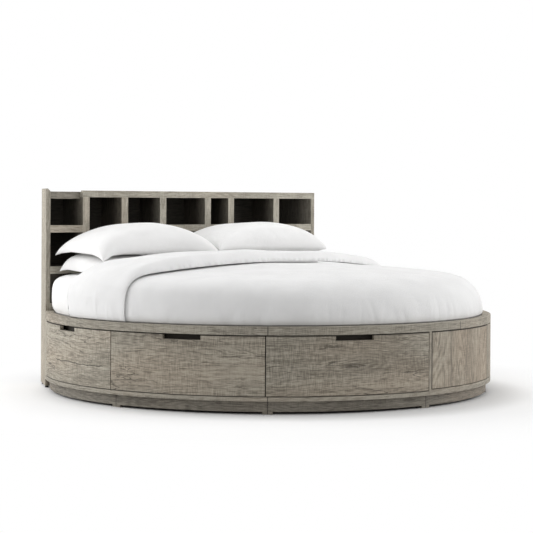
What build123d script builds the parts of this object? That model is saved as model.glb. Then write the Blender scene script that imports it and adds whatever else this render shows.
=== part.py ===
from build123d import *
import os
from math import acos, cos, degrees, radians, sin, sqrt, tan

# A round storage bed with a bookcase headboard. Millimetres, +Z up.
# Angles in plan are measured at the circle's centre from the foot (-Y), positive towards +X.
# The origin lies on the floor under the middle of the overall box.

# Overall sizes
platform_radius = 1220.0
head_setback = 503.0
head_distance = platform_radius - head_setback
case_depth = 212.0
centre_y = (platform_radius - head_distance - case_depth) / 2
joint_gap = 0.3
cut_overrun = 50.0

# Heights of the platform
floor_relief = 12.0
plinth_height = 65.0
base_thickness = 20.0
rim_thickness = 40.0
rail_depth = 46.0
slat_thickness = 18.0
opening_height = 298.0
base_top = plinth_height + base_thickness
rim_bottom = base_top + opening_height
rim_top = rim_bottom + rim_thickness
rail_bottom = rim_bottom - rail_depth
ledge_top = rim_bottom - slat_thickness
carcass_height = rail_bottom - base_top

# Widths of the platform's rings
rim_width = 48.0
plinth_recess = 25.0
plinth_thickness = 20.0
base_width = 460.0
front_thickness = 20.0
front_rear_radius = platform_radius - front_thickness
finger_room = 20.0
rail_outer_radius = front_rear_radius - finger_room
rail_thickness = 24.0
ledge_width = 26.0
rail_upper_radius = rail_outer_radius - rail_thickness
rail_inner_radius = rail_upper_radius - ledge_width
rim_edge_round = 2.5

# Module boundaries round the platform, in degrees
drawer_limits = (-116.9, -80.3, -41.0, 0.72)
first_stile_angle = 1.2
head_angle = degrees(acos(-head_distance / platform_radius))
inset_panel_count = 4
inset_pitch = (head_angle - first_stile_angle) / inset_panel_count
rim_seams = (-94.0, -40.5, 13.0, 66.5)
ring_seams = (-40.5, 42.0)
plinth_seams = (-79.6, -40.5, 0.9, 42.0, 84.0)

# Gaps round the fronts
side_gap = 5.0
top_gap = 4.0
bottom_gap = 2.0
panel_reveal = 4.0
kerb_height = 7.0
stile_width = 16.0
batten_width = 18.0
batten_depth = 20.0

# Plinth feet
foot_length = 25.0

# Drawer bays and their runners
board_thickness = 15.0
divider_thickness = 18.0
bay_depth = 430.0
bay_spacing = 12.0
bay_rear = platform_radius - bay_depth
drawer_names = ("a", "b", "c")
bay_half_widths = {
    name: bay_rear * tan(radians(last - first) / 2) - board_thickness - bay_spacing / 2
    for name, first, last in zip(drawer_names, drawer_limits[:-1], drawer_limits[1:])
}
carcass_setback = 4.0
runner_space = 13.0
runner_height = 38.0
runner_sheet = 1.5
runner_depth = 9.0
runner_inner_depth = 10.0
runner_play = 0.3
runner_length = 330.0
runner_centre_height = 170.0
runner_inset = 6.0

# Drawer boxes
box_thickness = 14.0
box_floor_thickness = 8.0
box_floor_lift = 8.0
box_lift = 8.0
box_top_room = 17.0
box_rear_room = 12.0
slot_widths = {"a": 175.0, "b": 200.0, "c": 200.0}
slot_height = 24.0

# Mattress deck
slat_width = 80.0
slat_pitch = 146.0
bearer_width = 60.0
bearer_spacing = 500.0
leg_size = 50.0
leg_row_shares = (0.52, -0.4)
head_rail_thickness = 20.0

# Bolts that join the platform to the bookcase
bolt_radius = 4.0
bolt_clearance = 0.4
bolt_head_radius = 8.0
bolt_head_height = 5.0
nut_height = 6.5
bolt_height = 250.0
bolt_place_shares = (-0.7, -0.3, 0.3, 0.7)

# Bookcase
case_half_width = sqrt(platform_radius ** 2 - head_distance ** 2)
case_side_width = 28.0
case_splay = 27.0
case_back_thickness = 12.0
upright_thickness = 45.0
upright_place_shares = (-0.733, -0.465, -0.1905, 0.144, 0.3225, 0.6835)
shelf_thickness = 40.0
case_top_thickness = 37.0
top_lip_depth = 18.0
side_rise = 9.0
side_bevel = 15.0
end_top_drop = 7.0
end_top_setback = 30.0
upper_opening = 156.0
middle_opening = 186.0
lower_opening = 161.0
case_bottom_thickness = 40.0
lower_panel_thickness = 15.0
open_column = 1
apron_thickness = 20.0
glide_radius = 10.0
case_support_columns = (1, 3, 5)

# Bedding
mattress_clearance = 4.0
mattress_height = 222.0
mattress_bulge = 9.0
bedding_clearance = 0.3
pillow_width = 820.0
pillow_depth = 456.0
pillow_sag = {"lower": 45.0, "upper": 30.0}
pillow_rise = {"lower": 95.0, "upper": 135.0}
pillow_pair_x = -138.5
pillow_gap = 7.0
pillow_setback = 251.0
fold_gap = 4.0
fold_left_depth = 520.0
fold_right_depth = 24.0
duvet_side = 14.0
duvet_top = 46.0
duvet_crown = 40.0
fold_side = 26.0
fold_top = 96.0
fold_crown = 52.0
bulge_rise_share = 0.3
shoulder_rise_share = 0.5875
corner_inset_share = 0.18
corner_drop_share = 0.07
edge_inset_share = 0.475
crown_middle_share = 0.78


def polar(angle, radius):
    """Point in plan at an angle from the foot, seen from the circle's centre."""
    return (radius * sin(radians(angle)), -radius * cos(radians(angle)))


def level(height):
    """Horizontal plane on the circle's axis."""
    return Plane(origin=(0, centre_y, height))


def bay_level(angle, height):
    """Horizontal plane on the circle's axis whose X axis points outwards at an angle."""
    outward = polar(angle, 1)
    return Plane(origin=(0, centre_y, height), x_dir=(outward[0], outward[1], 0))


def case_level(height):
    """Horizontal plane on the bed's centre line at the bookcase's front."""
    return Plane(origin=(0, centre_y + head_distance, height))


def turn(length, radius):
    """Angle in degrees that a short length takes up on a circle."""
    return degrees(length / radius)


def ring_sector(inner_radius, outer_radius, start, end):
    """Draws a ring sector in the open sketch."""
    middle = (start + end) / 2
    with BuildLine() as outline:
        ThreePointArc(polar(start, outer_radius), polar(middle, outer_radius), polar(end, outer_radius))
        Line(polar(end, outer_radius), polar(end, inner_radius))
        ThreePointArc(polar(end, inner_radius), polar(middle, inner_radius), polar(start, inner_radius))
        Line(polar(start, inner_radius), polar(start, outer_radius))
    make_face(outline.edges())


def trim_at_head(setback):
    """Cuts the open sketch off in front of the bookcase."""
    front = head_distance - setback
    with Locations((0, (front - platform_radius) / 2)):
        Rectangle(2 * platform_radius, front + platform_radius, mode=Mode.INTERSECT)


def keep(piece, name):
    """Labels a finished piece and writes it under its name."""
    piece.part.label = name
    export_step(piece.part, f"parts/{name}.step")


def spans(seams, limit):
    """Pairs of neighbouring seam angles from one end of the platform to the other."""
    marks = (-limit,) + seams + (limit,)
    return list(zip(marks[:-1], marks[1:]))


def head_limit(radius, setback):
    """Angle at which a circle meets the bookcase, or half a turn if it passes in front of it."""
    return degrees(acos(-min(1, (head_distance - setback) / radius)))


def ring_boards(name, inner_radius, outer_radius, bottom, thickness, seams, setback):
    """A flat ring in separate boards, cut off at the bookcase."""
    half_seam = turn(joint_gap / 2, outer_radius)
    limit = head_limit(inner_radius, setback) + half_seam
    with BuildPart() as boards:
        for start, end in spans(seams, limit):
            with BuildSketch(level(bottom)):
                ring_sector(inner_radius, outer_radius, start + half_seam, end - half_seam)
                trim_at_head(setback)
            extrude(amount=thickness)
    keep(boards, name)


os.makedirs("parts", exist_ok=True)

# Plinth boards, each with a foot at both ends and a relief between them
plinth_radius = platform_radius - plinth_recess
plinth_inner_radius = plinth_radius - plinth_thickness
plinth_limit = head_limit(plinth_radius, joint_gap)
foot_turn = turn(foot_length, plinth_radius)
plinth_seam = turn(joint_gap / 2, plinth_radius)
with BuildPart() as plinth_boards:
    for start, end in spans(plinth_seams, plinth_limit - plinth_seam):
        first = start + plinth_seam
        last = end - plinth_seam
        with BuildSketch(level(floor_relief)):
            ring_sector(plinth_inner_radius, plinth_radius, first, last)
        extrude(amount=plinth_height - floor_relief)
        with BuildSketch(level(0)):
            ring_sector(plinth_inner_radius, plinth_radius, first, first + foot_turn)
            ring_sector(plinth_inner_radius, plinth_radius, last - foot_turn, last)
        extrude(amount=floor_relief)
keep(plinth_boards, "plinth_boards")

# Base boards: the thin ledge that runs round under the fronts
ring_boards("base_boards", platform_radius - base_width, platform_radius, plinth_height,
            base_thickness, ring_seams, joint_gap)

# Drawer bays: two side boards and a back for each drawer
for index, name in enumerate(drawer_names):
    facing = (drawer_limits[index] + drawer_limits[index + 1]) / 2
    half_width = bay_half_widths[name]
    with BuildPart() as bay_sides:
        with BuildSketch(bay_level(facing, base_top)):
            side_length = platform_radius - bay_rear
            for side in (-1, 1):
                with Locations((bay_rear + side_length / 2, side * (half_width + board_thickness / 2))):
                    Rectangle(side_length, board_thickness)
            Circle(front_rear_radius - carcass_setback, mode=Mode.INTERSECT)
        extrude(amount=carcass_height)
    keep(bay_sides, f"bay_sides_{name}")

with BuildPart() as bay_backs:
    for index, name in enumerate(drawer_names):
        facing = (drawer_limits[index] + drawer_limits[index + 1]) / 2
        with BuildSketch(bay_level(facing, base_top)):
            with Locations((bay_rear + board_thickness / 2, 0)):
                Rectangle(board_thickness, 2 * bay_half_widths[name])
        extrude(amount=carcass_height)
keep(bay_backs, "bay_backs")


def radial_board(angle, thickness, rear, front_radius):
    """A board on edge that points at the circle's centre, with a post up to the rim at its front."""
    length = platform_radius - rear
    with BuildSketch(bay_level(angle, base_top)) as board:
        with Locations((rear + length / 2, 0)):
            Rectangle(length, thickness)
        Circle(front_radius, mode=Mode.INTERSECT)
    extrude(board.sketch, amount=carcass_height)
    with BuildSketch(bay_level(angle, rail_bottom)) as post:
        with Locations((rear + length / 2, 0)):
            Rectangle(length, thickness)
        Circle(front_radius, mode=Mode.INTERSECT)
        Circle(rail_outer_radius + joint_gap, mode=Mode.SUBTRACT)
    extrude(post.sketch, amount=rail_depth)


# Dividers behind the gaps between the drawers
divider_room = divider_thickness + 2 * board_thickness
divider_rear = bay_rear + 2 * divider_room
with BuildPart() as divider_boards:
    for angle in drawer_limits[:-1]:
        radial_board(angle, divider_thickness, divider_rear, front_rear_radius - carcass_setback)
keep(divider_boards, "divider_boards")

# Stile boards, whose front edges show between the inset panels
stile_angles = [first_stile_angle + inset_pitch * step for step in range(inset_panel_count)]
with BuildPart() as stile_boards:
    for angle in stile_angles:
        stile_rear = divider_rear if angle == first_stile_angle else bay_rear
        radial_board(angle, stile_width, stile_rear, platform_radius)
keep(stile_boards, "stile_boards")

# Plain curved fillers at the bookcase: beside the first drawer and after the last inset panel
past_head = head_angle + turn(front_thickness, platform_radius)
first_filler_end = drawer_limits[0] - turn(side_gap / 2, platform_radius)
last_filler_start = head_angle - turn(stile_width / 2, platform_radius)
with BuildPart() as end_fillers:
    for start, end in ((-past_head, first_filler_end), (last_filler_start, past_head)):
        with BuildSketch(level(base_top)):
            ring_sector(front_rear_radius, platform_radius, start, end)
            trim_at_head(joint_gap)
        extrude(amount=opening_height)
keep(end_fillers, "end_fillers")

# Deck rails: a rebated ring under the rim that carries the slats' ends
with BuildPart() as deck_rails:
    rail_setback = head_rail_thickness + joint_gap
    rail_limit = head_limit(rail_inner_radius, rail_setback)
    rail_seam = turn(joint_gap / 2, rail_outer_radius)
    for start, end in spans(ring_seams, rail_limit):
        for inner_radius, bottom, top in (
            (rail_inner_radius, rail_bottom, ledge_top),
            (rail_upper_radius, ledge_top, rim_bottom),
        ):
            with BuildSketch(level(bottom)):
                ring_sector(inner_radius, rail_outer_radius, start + rail_seam, end - rail_seam)
                trim_at_head(rail_setback)
            extrude(amount=top - bottom)
keep(deck_rails, "deck_rails")

# Rim: the thick ring round the mattress
rim_inner_radius = platform_radius - rim_width
rim_limit = head_limit(rim_inner_radius, joint_gap)
with BuildPart() as rim_segments:
    rim_seam = turn(joint_gap / 2, platform_radius)
    for start, end in spans(rim_seams, rim_limit):
        with BuildSketch(level(rim_bottom)):
            ring_sector(rim_inner_radius, platform_radius, start + rim_seam, end - rim_seam)
            trim_at_head(joint_gap)
        extrude(amount=rim_thickness)
    outer_edges = rim_segments.edges().filter_by(GeomType.CIRCLE).group_by(Axis.Z)[-1]
    fillet(outer_edges, rim_edge_round)
keep(rim_segments, "rim_segments")

# Inset panels between the stiles, with a kerb below and battens behind
panel_bottom = base_top + kerb_height + panel_reveal
panel_top = rim_bottom - top_gap
stile_turn = turn(stile_width / 2, platform_radius)
reveal_turn = turn(panel_reveal, platform_radius)
panel_ends = stile_angles[1:] + [head_angle]
for number, (start, end) in enumerate(zip(stile_angles, panel_ends), 1):
    with BuildPart() as inset_panel:
        with BuildSketch(level(panel_bottom)):
            ring_sector(front_rear_radius, platform_radius, start + stile_turn + reveal_turn,
                        end - stile_turn - reveal_turn)
        extrude(amount=panel_top - panel_bottom)
    keep(inset_panel, f"inset_panel_{number}")

with BuildPart() as panel_kerbs:
    for start, end in zip(stile_angles, panel_ends):
        with BuildSketch(level(base_top)):
            kerb_gap = turn(joint_gap, platform_radius)
            ring_sector(front_rear_radius, platform_radius, start + stile_turn + kerb_gap,
                        end - stile_turn - kerb_gap)
        extrude(amount=kerb_height)
keep(panel_kerbs, "panel_kerbs")

batten_front = sqrt((front_rear_radius - joint_gap) ** 2 - (stile_width / 2 + batten_width) ** 2)
with BuildPart() as panel_battens:
    for start, end in zip(stile_angles, panel_ends):
        for angle, side in ((start, 1), (end, -1)):
            with BuildSketch(bay_level(angle, base_top)):
                with Locations((batten_front - batten_depth / 2, side * (stile_width + batten_width) / 2)):
                    Rectangle(batten_depth, batten_width)
            extrude(amount=carcass_height)
keep(panel_battens, "panel_battens")

# Head rail: the straight board that closes the platform at the bookcase
with BuildPart() as head_rail:
    rail_half = sqrt((rail_inner_radius) ** 2 - head_distance ** 2)
    with BuildSketch(case_level(base_top)):
        with Locations((0, -joint_gap - head_rail_thickness / 2)):
            Rectangle(2 * rail_half, head_rail_thickness)
    extrude(amount=opening_height)
    bolt_places = [share * rail_half for share in bolt_place_shares]
    for place in bolt_places:
        with BuildSketch(Plane(origin=(place, centre_y + head_distance, bolt_height), z_dir=(0, -1, 0))):
            Circle(bolt_radius + bolt_clearance)
        extrude(amount=head_rail_thickness + cut_overrun, mode=Mode.SUBTRACT)
keep(head_rail, "head_rail")

# Slats, bearers and the legs under them
slat_rear = head_distance - head_rail_thickness - slat_width / 2
slat_count = int((slat_rear + rail_upper_radius - slat_width) / slat_pitch) + 1
with BuildPart() as slats:
    for step in range(slat_count):
        place = slat_rear - joint_gap - step * slat_pitch
        far_edge = abs(place) + slat_width / 2
        half_length = sqrt((rail_upper_radius - joint_gap) ** 2 - far_edge ** 2)
        with BuildSketch(level(ledge_top)):
            with Locations((0, place)):
                Rectangle(2 * half_length, slat_width)
        extrude(amount=slat_thickness)
keep(slats, "slats")

bearer_places = (-bearer_spacing, 0, bearer_spacing)
with BuildPart() as bearers:
    for place in bearer_places:
        reach = sqrt((rail_inner_radius - joint_gap) ** 2 - (abs(place) + bearer_width / 2) ** 2)
        rear = head_distance - head_rail_thickness - joint_gap
        with BuildSketch(level(rail_bottom)):
            with Locations((place, (rear - reach) / 2)):
                Rectangle(bearer_width, rear + reach)
        extrude(amount=ledge_top - rail_bottom)
keep(bearers, "bearers")

leg_rows = [share * bearer_spacing for share in leg_row_shares]
with BuildPart() as support_legs:
    with BuildSketch(level(0)):
        for place in bearer_places:
            for row in leg_rows:
                with Locations((place, row)):
                    Rectangle(leg_size, leg_size)
    extrude(amount=rail_bottom)
keep(support_legs, "support_legs")


def runner_channel(angle, wall, direction, depth, height, rear):
    """A U-shaped sheet channel on edge, with its web on a wall and its flanges towards a direction."""
    bottom = runner_centre_height - height / 2
    flange_start = wall + direction * depth / 2
    web_place = wall + direction * runner_sheet / 2
    middle = rear + runner_length / 2
    with BuildSketch(bay_level(angle, bottom)) as web:
        with Locations((middle, web_place)):
            Rectangle(runner_length, runner_sheet)
    extrude(web.sketch, amount=height)
    for flange_bottom in (bottom, bottom + height - runner_sheet):
        with BuildSketch(bay_level(angle, flange_bottom)) as flange:
            with Locations((middle, flange_start)):
                Rectangle(runner_length, depth)
        extrude(flange.sketch, amount=runner_sheet)


# Drawers, each on a pair of sheet-metal runners
box_bottom = base_top + box_lift
box_top = rail_bottom - box_top_room
box_height = box_top - box_bottom
box_rear = bay_rear + board_thickness + box_rear_room
front_bottom = base_top + bottom_gap
front_top = rim_bottom - top_gap
runner_rear = box_rear + runner_inset
inner_height = runner_height - 2 * runner_sheet - 2 * runner_play
for index, name in enumerate(drawer_names):
    first = drawer_limits[index]
    last = drawer_limits[index + 1]
    facing = (first + last) / 2
    bay_half = bay_half_widths[name]
    box_half = bay_half - runner_space
    gap_turn = turn(side_gap / 2, platform_radius)

    with BuildPart() as drawer_front:
        with BuildSketch(level(front_bottom)):
            ring_sector(front_rear_radius, platform_radius, first + gap_turn, last - gap_turn)
        extrude(amount=front_top - front_bottom)
        slot_turn = turn(slot_widths[name] / 2, platform_radius)
        with BuildSketch(level(front_top - slot_height)):
            ring_sector(front_rear_radius - cut_overrun, platform_radius + cut_overrun,
                        facing - slot_turn, facing + slot_turn)
        extrude(amount=slot_height + cut_overrun, mode=Mode.SUBTRACT)
    keep(drawer_front, f"drawer_{name}_front")

    box_length = platform_radius - box_rear
    with BuildPart() as drawer_sides:
        with BuildSketch(bay_level(facing, box_bottom)):
            for side in (-1, 1):
                with Locations((box_rear + box_length / 2, side * (box_half - box_thickness / 2))):
                    Rectangle(box_length, box_thickness)
            Circle(front_rear_radius - joint_gap, mode=Mode.INTERSECT)
        extrude(amount=box_height)
    keep(drawer_sides, f"drawer_{name}_sides")

    inner_half = box_half - box_thickness
    with BuildPart() as drawer_back:
        with BuildSketch(bay_level(facing, box_bottom)):
            with Locations((box_rear + box_thickness / 2, 0)):
                Rectangle(box_thickness, 2 * inner_half)
        extrude(amount=box_height)
    keep(drawer_back, f"drawer_{name}_back")

    with BuildPart() as drawer_bottom:
        with BuildSketch(bay_level(facing, box_bottom + box_floor_lift)):
            floor_length = box_length - box_thickness
            with Locations((box_rear + box_thickness + floor_length / 2, 0)):
                Rectangle(floor_length, 2 * inner_half)
            Circle(front_rear_radius - joint_gap, mode=Mode.INTERSECT)
        extrude(amount=box_floor_thickness)
    keep(drawer_bottom, f"drawer_{name}_bottom")

    with BuildPart() as drawer_runners:
        for side in (-1, 1):
            runner_channel(facing, side * box_half, side, runner_inner_depth, inner_height, runner_rear)
    keep(drawer_runners, f"drawer_{name}_runners")

with BuildPart() as cabinet_runners:
    for index, name in enumerate(drawer_names):
        facing = (drawer_limits[index] + drawer_limits[index + 1]) / 2
        for side in (-1, 1):
            wall = side * bay_half_widths[name]
            runner_channel(facing, wall, -side, runner_depth, runner_height, runner_rear)
keep(cabinet_runners, "cabinet_runners")

# Bookcase: plan lines of its two splayed sides and of its uprights
splay_shift = tan(radians(case_splay))
upright_places = [share * case_half_width for share in upright_place_shares]
column_count = len(upright_places) + 1
inner_depth = case_depth - case_back_thickness
case_bottom_top = rim_top + case_bottom_thickness
middle_shelf_bottom = case_bottom_top + lower_opening
upper_shelf_bottom = middle_shelf_bottom + shelf_thickness + middle_opening
case_top_bottom = upper_shelf_bottom + shelf_thickness + upper_opening
case_top_height = case_top_bottom + case_top_thickness
raised_side_height = case_top_height + side_rise


def column_edges(column, depth):
    """Left and right X of a column of the bookcase at a depth behind its front."""
    side_inner = case_half_width - case_side_width - depth * splay_shift
    left = -side_inner if column == 0 else upright_places[column - 1] + upright_thickness / 2
    right = side_inner if column == column_count - 1 else upright_places[column] - upright_thickness / 2
    return left, right


def plan_board(first_column, last_column, front, rear):
    """Draws a board's plan between the walls of the columns it spans."""
    front_left, _ = column_edges(first_column, front)
    rear_left, _ = column_edges(first_column, rear)
    _, front_right = column_edges(last_column, front)
    _, rear_right = column_edges(last_column, rear)
    with BuildLine() as outline:
        Polyline((front_left, front), (front_right, front), (rear_right, rear), (rear_left, rear), close=True)
    make_face(outline.edges())


def side_plan(side):
    """Draws the plan of a splayed side panel."""
    outer = side * case_half_width
    inner = side * (case_half_width - case_side_width)
    shift = side * case_depth * splay_shift
    with BuildLine() as outline:
        Polyline((outer, 0), (inner, 0), (inner - shift, case_depth), (outer - shift, case_depth), close=True)
    make_face(outline.edges())


# Left side panel, raised above the top board, with a bevel along its inner top edge
with BuildPart() as case_side_left:
    with BuildSketch(case_level(floor_relief)):
        side_plan(-1)
    extrude(amount=raised_side_height - floor_relief)
    top_edges = case_side_left.edges().group_by(Axis.Z)[-1].sort_by(SortBy.LENGTH)[-2:]
    chamfer(top_edges.sort_by(Axis.X)[-1], side_bevel)
keep(case_side_left, "case_side_left")

# Right side panel, which ends under the top board
with BuildPart() as case_side_right:
    with BuildSketch(case_level(floor_relief)):
        side_plan(1)
    extrude(amount=case_top_bottom - floor_relief)
keep(case_side_right, "case_side_right")

def top_plan(depth):
    """Draws the top board's plan from the front to a depth."""
    left = upright_places[0] - upright_thickness / 2
    right = case_half_width - depth * splay_shift
    with BuildLine() as outline:
        Polyline((left, 0), (case_half_width, 0), (right, depth), (left, depth), close=True)
    make_face(outline.edges())


# Top board from the first upright to the right side panel's outer face, with a lip along its front
with BuildPart() as case_top:
    with BuildSketch(case_level(case_top_bottom)):
        top_plan(case_depth)
    extrude(amount=case_top_thickness - end_top_drop)
    with BuildSketch(case_level(case_top_bottom)):
        top_plan(top_lip_depth)
    extrude(amount=case_top_thickness)
keep(case_top, "case_top")

# Set-back top board of the first column
with BuildPart() as case_end_top:
    with BuildSketch(case_level(case_top_height - end_top_drop - shelf_thickness)):
        plan_board(0, 0, end_top_setback, inner_depth)
    extrude(amount=shelf_thickness)
keep(case_end_top, "case_end_top")

with BuildPart() as case_uprights:
    with BuildSketch(case_level(case_bottom_top)):
        for place in upright_places:
            with Locations((place, inner_depth / 2)):
                Rectangle(upright_thickness, inner_depth)
    extrude(amount=case_top_bottom - case_bottom_top)
keep(case_uprights, "case_uprights")

# Shelves: every column has a middle shelf, and all but one an upper shelf
with BuildPart() as case_upper_shelves:
    with BuildSketch(case_level(upper_shelf_bottom)):
        for column in range(column_count):
            if column != open_column:
                plan_board(column, column, 0, inner_depth)
    extrude(amount=shelf_thickness)
keep(case_upper_shelves, "case_upper_shelves")

with BuildPart() as case_middle_shelves:
    with BuildSketch(case_level(middle_shelf_bottom)):
        for column in range(column_count):
            plan_board(column, column, 0, inner_depth)
    extrude(amount=shelf_thickness)
keep(case_middle_shelves, "case_middle_shelves")

with BuildPart() as case_bottom:
    with BuildSketch(case_level(rim_top)):
        plan_board(0, column_count - 1, 0, inner_depth)
    extrude(amount=case_bottom_thickness)
keep(case_bottom, "case_bottom")

# Panels that close the row of columns behind the mattress
with BuildPart() as case_lower_panels:
    with BuildSketch(case_level(case_bottom_top)):
        for column in range(column_count):
            plan_board(column, column, 0, lower_panel_thickness)
    extrude(amount=middle_shelf_bottom - case_bottom_top)
keep(case_lower_panels, "case_lower_panels")

with BuildPart() as case_back:
    with BuildSketch(case_level(floor_relief)):
        plan_board(0, column_count - 1, inner_depth, case_depth)
    extrude(amount=case_top_bottom - floor_relief)
keep(case_back, "case_back")

# Apron behind the head rail, drilled for the bolts
with BuildPart() as case_apron:
    with BuildSketch(case_level(floor_relief)):
        plan_board(0, column_count - 1, 0, apron_thickness)
    extrude(amount=rim_top - floor_relief)
    apron_front = centre_y + head_distance
    for place in bolt_places:
        with BuildSketch(Plane(origin=(place, apron_front - cut_overrun, bolt_height), z_dir=(0, 1, 0))):
            Circle(bolt_radius + bolt_clearance)
        extrude(amount=apron_thickness + 2 * cut_overrun, mode=Mode.SUBTRACT)
keep(case_apron, "case_apron")

with BuildPart() as case_supports:
    with BuildSketch(case_level(0)):
        for column in case_support_columns:
            with Locations((upright_places[column], (apron_thickness + inner_depth) / 2)):
                Rectangle(upright_thickness, inner_depth - apron_thickness)
    extrude(amount=rim_top)
keep(case_supports, "case_supports")

# Glides under the two side panels
with BuildPart() as case_glides:
    with BuildSketch(case_level(0)):
        for side in (-1, 1):
            for depth in (case_side_width, case_depth - case_side_width):
                middle = case_half_width - case_side_width / 2 - depth * splay_shift
                with Locations((side * middle, depth)):
                    Circle(glide_radius)
    extrude(amount=floor_relief)
keep(case_glides, "case_glides")

# Bolts through the head rail and the apron, with nuts inside the bookcase
bolt_head_face = centre_y + head_distance - joint_gap - head_rail_thickness
apron_rear_face = centre_y + head_distance + apron_thickness
with BuildPart() as head_bolts:
    for place in bolt_places:
        with BuildSketch(Plane(origin=(place, bolt_head_face, bolt_height), z_dir=(0, -1, 0))):
            RegularPolygon(bolt_head_radius, 6)
        extrude(amount=bolt_head_height)
        with BuildSketch(Plane(origin=(place, bolt_head_face, bolt_height), z_dir=(0, 1, 0))):
            Circle(bolt_radius)
        extrude(amount=apron_rear_face - bolt_head_face + nut_height)
keep(head_bolts, "head_bolts")

with BuildPart() as head_nuts:
    for place in bolt_places:
        with BuildSketch(Plane(origin=(place, apron_rear_face, bolt_height), z_dir=(0, 1, 0))):
            RegularPolygon(bolt_head_radius, 6)
            Circle(bolt_radius + bolt_clearance / 2, mode=Mode.SUBTRACT)
        extrude(amount=nut_height)
keep(head_nuts, "head_nuts")

# Bedding profiles: radius and height of points on each layer's outer surface
mattress_radius = rim_inner_radius - mattress_clearance
mattress_top = rim_bottom + mattress_height


def layer_points(side, top, crown):
    """Outer points of a bedding layer that adds a side, a top and a crown thickness to the mattress."""
    foot = (mattress_radius + side, rim_top + bedding_clearance)
    bulge = (mattress_radius + mattress_bulge + side, rim_top + bulge_rise_share * mattress_height)
    shoulder = (mattress_radius - mattress_bulge + side, rim_top + shoulder_rise_share * mattress_height)
    corner = (mattress_radius - corner_inset_share * mattress_height + side / 2,
              mattress_top + top - corner_drop_share * mattress_height)
    edge = (mattress_radius - edge_inset_share * mattress_height, mattress_top + top)
    middle = (mattress_radius / 2, mattress_top + top + crown_middle_share * crown)
    centre = (0, mattress_top + top + crown)
    return foot, bulge, shoulder, corner, edge, middle, centre


def draw_layer(points):
    """Draws a layer's outer side, shoulder and crowned top as arcs."""
    foot, bulge, shoulder, corner, edge, middle, centre = points
    ThreePointArc(foot, bulge, shoulder)
    ThreePointArc(shoulder, corner, edge)
    if centre[1] > edge[1]:
        ThreePointArc(edge, middle, centre)
    else:
        Line(edge, centre)


section_plane = Plane(origin=(0, centre_y, 0), x_dir=(-1, 0, 0), z_dir=(0, 1, 0))
upright_axis = Axis((0, centre_y, 0), (0, 0, 1))
mattress_points = layer_points(0, 0, 0)
with BuildPart() as mattress:
    with BuildSketch(section_plane):
        with BuildLine():
            draw_layer(mattress_points)
            Polyline(mattress_points[-1], (0, rim_bottom + bedding_clearance),
                     (mattress_radius, rim_bottom + bedding_clearance), mattress_points[0])
        make_face()
    revolve(axis=upright_axis)
    split(bisect_by=Plane(origin=(0, centre_y + head_distance - mattress_clearance, 0), z_dir=(0, -1, 0)))
keep(mattress, "mattress")


def bedding_shell(inner, outer):
    """Turns the space between two bedding layers about the circle's axis."""
    lifted = [(radius + bedding_clearance, height + bedding_clearance) for radius, height in inner]
    lifted[-1] = (0, lifted[-1][1])
    with BuildSketch(section_plane) as section:
        with BuildLine():
            draw_layer(lifted)
            Line(lifted[-1], outer[-1])
            draw_layer(outer)
            Line(outer[0], lifted[0])
        make_face()
    revolve(section.sketch, axis=upright_axis)


pillow_y = head_distance - pillow_setback
fold_line_y = pillow_y - pillow_depth / 2 - fold_gap
duvet_points = layer_points(duvet_side, duvet_top, duvet_crown)
with BuildPart() as duvet:
    bedding_shell(mattress_points, duvet_points)
    split(bisect_by=Plane(origin=(0, centre_y + fold_line_y, 0), z_dir=(0, -1, 0)))
keep(duvet, "duvet")

fold_points = layer_points(fold_side, fold_top, fold_crown)
with BuildPart() as duvet_fold:
    bedding_shell(duvet_points, fold_points)
    with BuildSketch(level(rim_top)):
        with BuildLine():
            Polyline((-platform_radius, fold_line_y - fold_left_depth),
                     (platform_radius, fold_line_y - fold_right_depth),
                     (platform_radius, fold_line_y), (-platform_radius, fold_line_y), close=True)
        make_face()
    extrude(amount=mattress_height + fold_top + fold_crown, mode=Mode.INTERSECT)
keep(duvet_fold, "duvet_fold")


def pillow_section(height, share, draw):
    """Draws a four-sided pillow outline whose sides are drawn in by a length."""
    half_width = share * pillow_width / 2
    half_depth = share * pillow_depth / 2
    with BuildSketch(height) as section:
        with BuildLine():
            corners = [(-half_width, -half_depth), (half_width, -half_depth),
                       (half_width, half_depth), (-half_width, half_depth)]
            middles = [(0, draw - half_depth), (half_width - draw, 0),
                       (0, half_depth - draw), (draw - half_width, 0)]
            for index, middle in enumerate(middles):
                ThreePointArc(corners[index], middle, corners[(index + 1) % len(corners)])
        make_face()
    return section.sketch


# Pillows: a crowned form above and below a pointed seam line
section_shares = ((1.0, 0), (0.86, 0.52), (0.62, 0.86), (0.34, 1.0))
draw_shares = (0.1, -0.06, -0.12, -0.1)
pillow_offset = (pillow_width + pillow_gap) / 2
pillow_places = {"left": pillow_pair_x - pillow_offset, "right": pillow_pair_x + pillow_offset}
for side_name, middle_x in pillow_places.items():
    pillow_bottom = mattress_top + bedding_clearance
    for tier_name in ("lower", "upper"):
        seam_height = pillow_bottom + pillow_sag[tier_name]
        with BuildPart() as pillow:
            for thickness in (-pillow_sag[tier_name], pillow_rise[tier_name]):
                sections = []
                for (share, rise_share), draw_share in zip(section_shares, draw_shares):
                    section_height = seam_height + rise_share * thickness
                    place = Plane(origin=(middle_x, centre_y + pillow_y, section_height))
                    sections.append(pillow_section(place, share, draw_share * pillow_depth / 2))
                loft(sections)
        keep(pillow, f"pillow_{side_name}_{tier_name}")
        pillow_bottom = seam_height + pillow_rise[tier_name] + bedding_clearance
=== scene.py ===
"""Looks for a round storage bed: materials, bedding, light and camera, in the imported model's frame."""

import bisect
import logging
import math
from dataclasses import dataclass
from enum import Enum
from typing import Callable

import bmesh
import bpy
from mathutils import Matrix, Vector, noise

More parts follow.
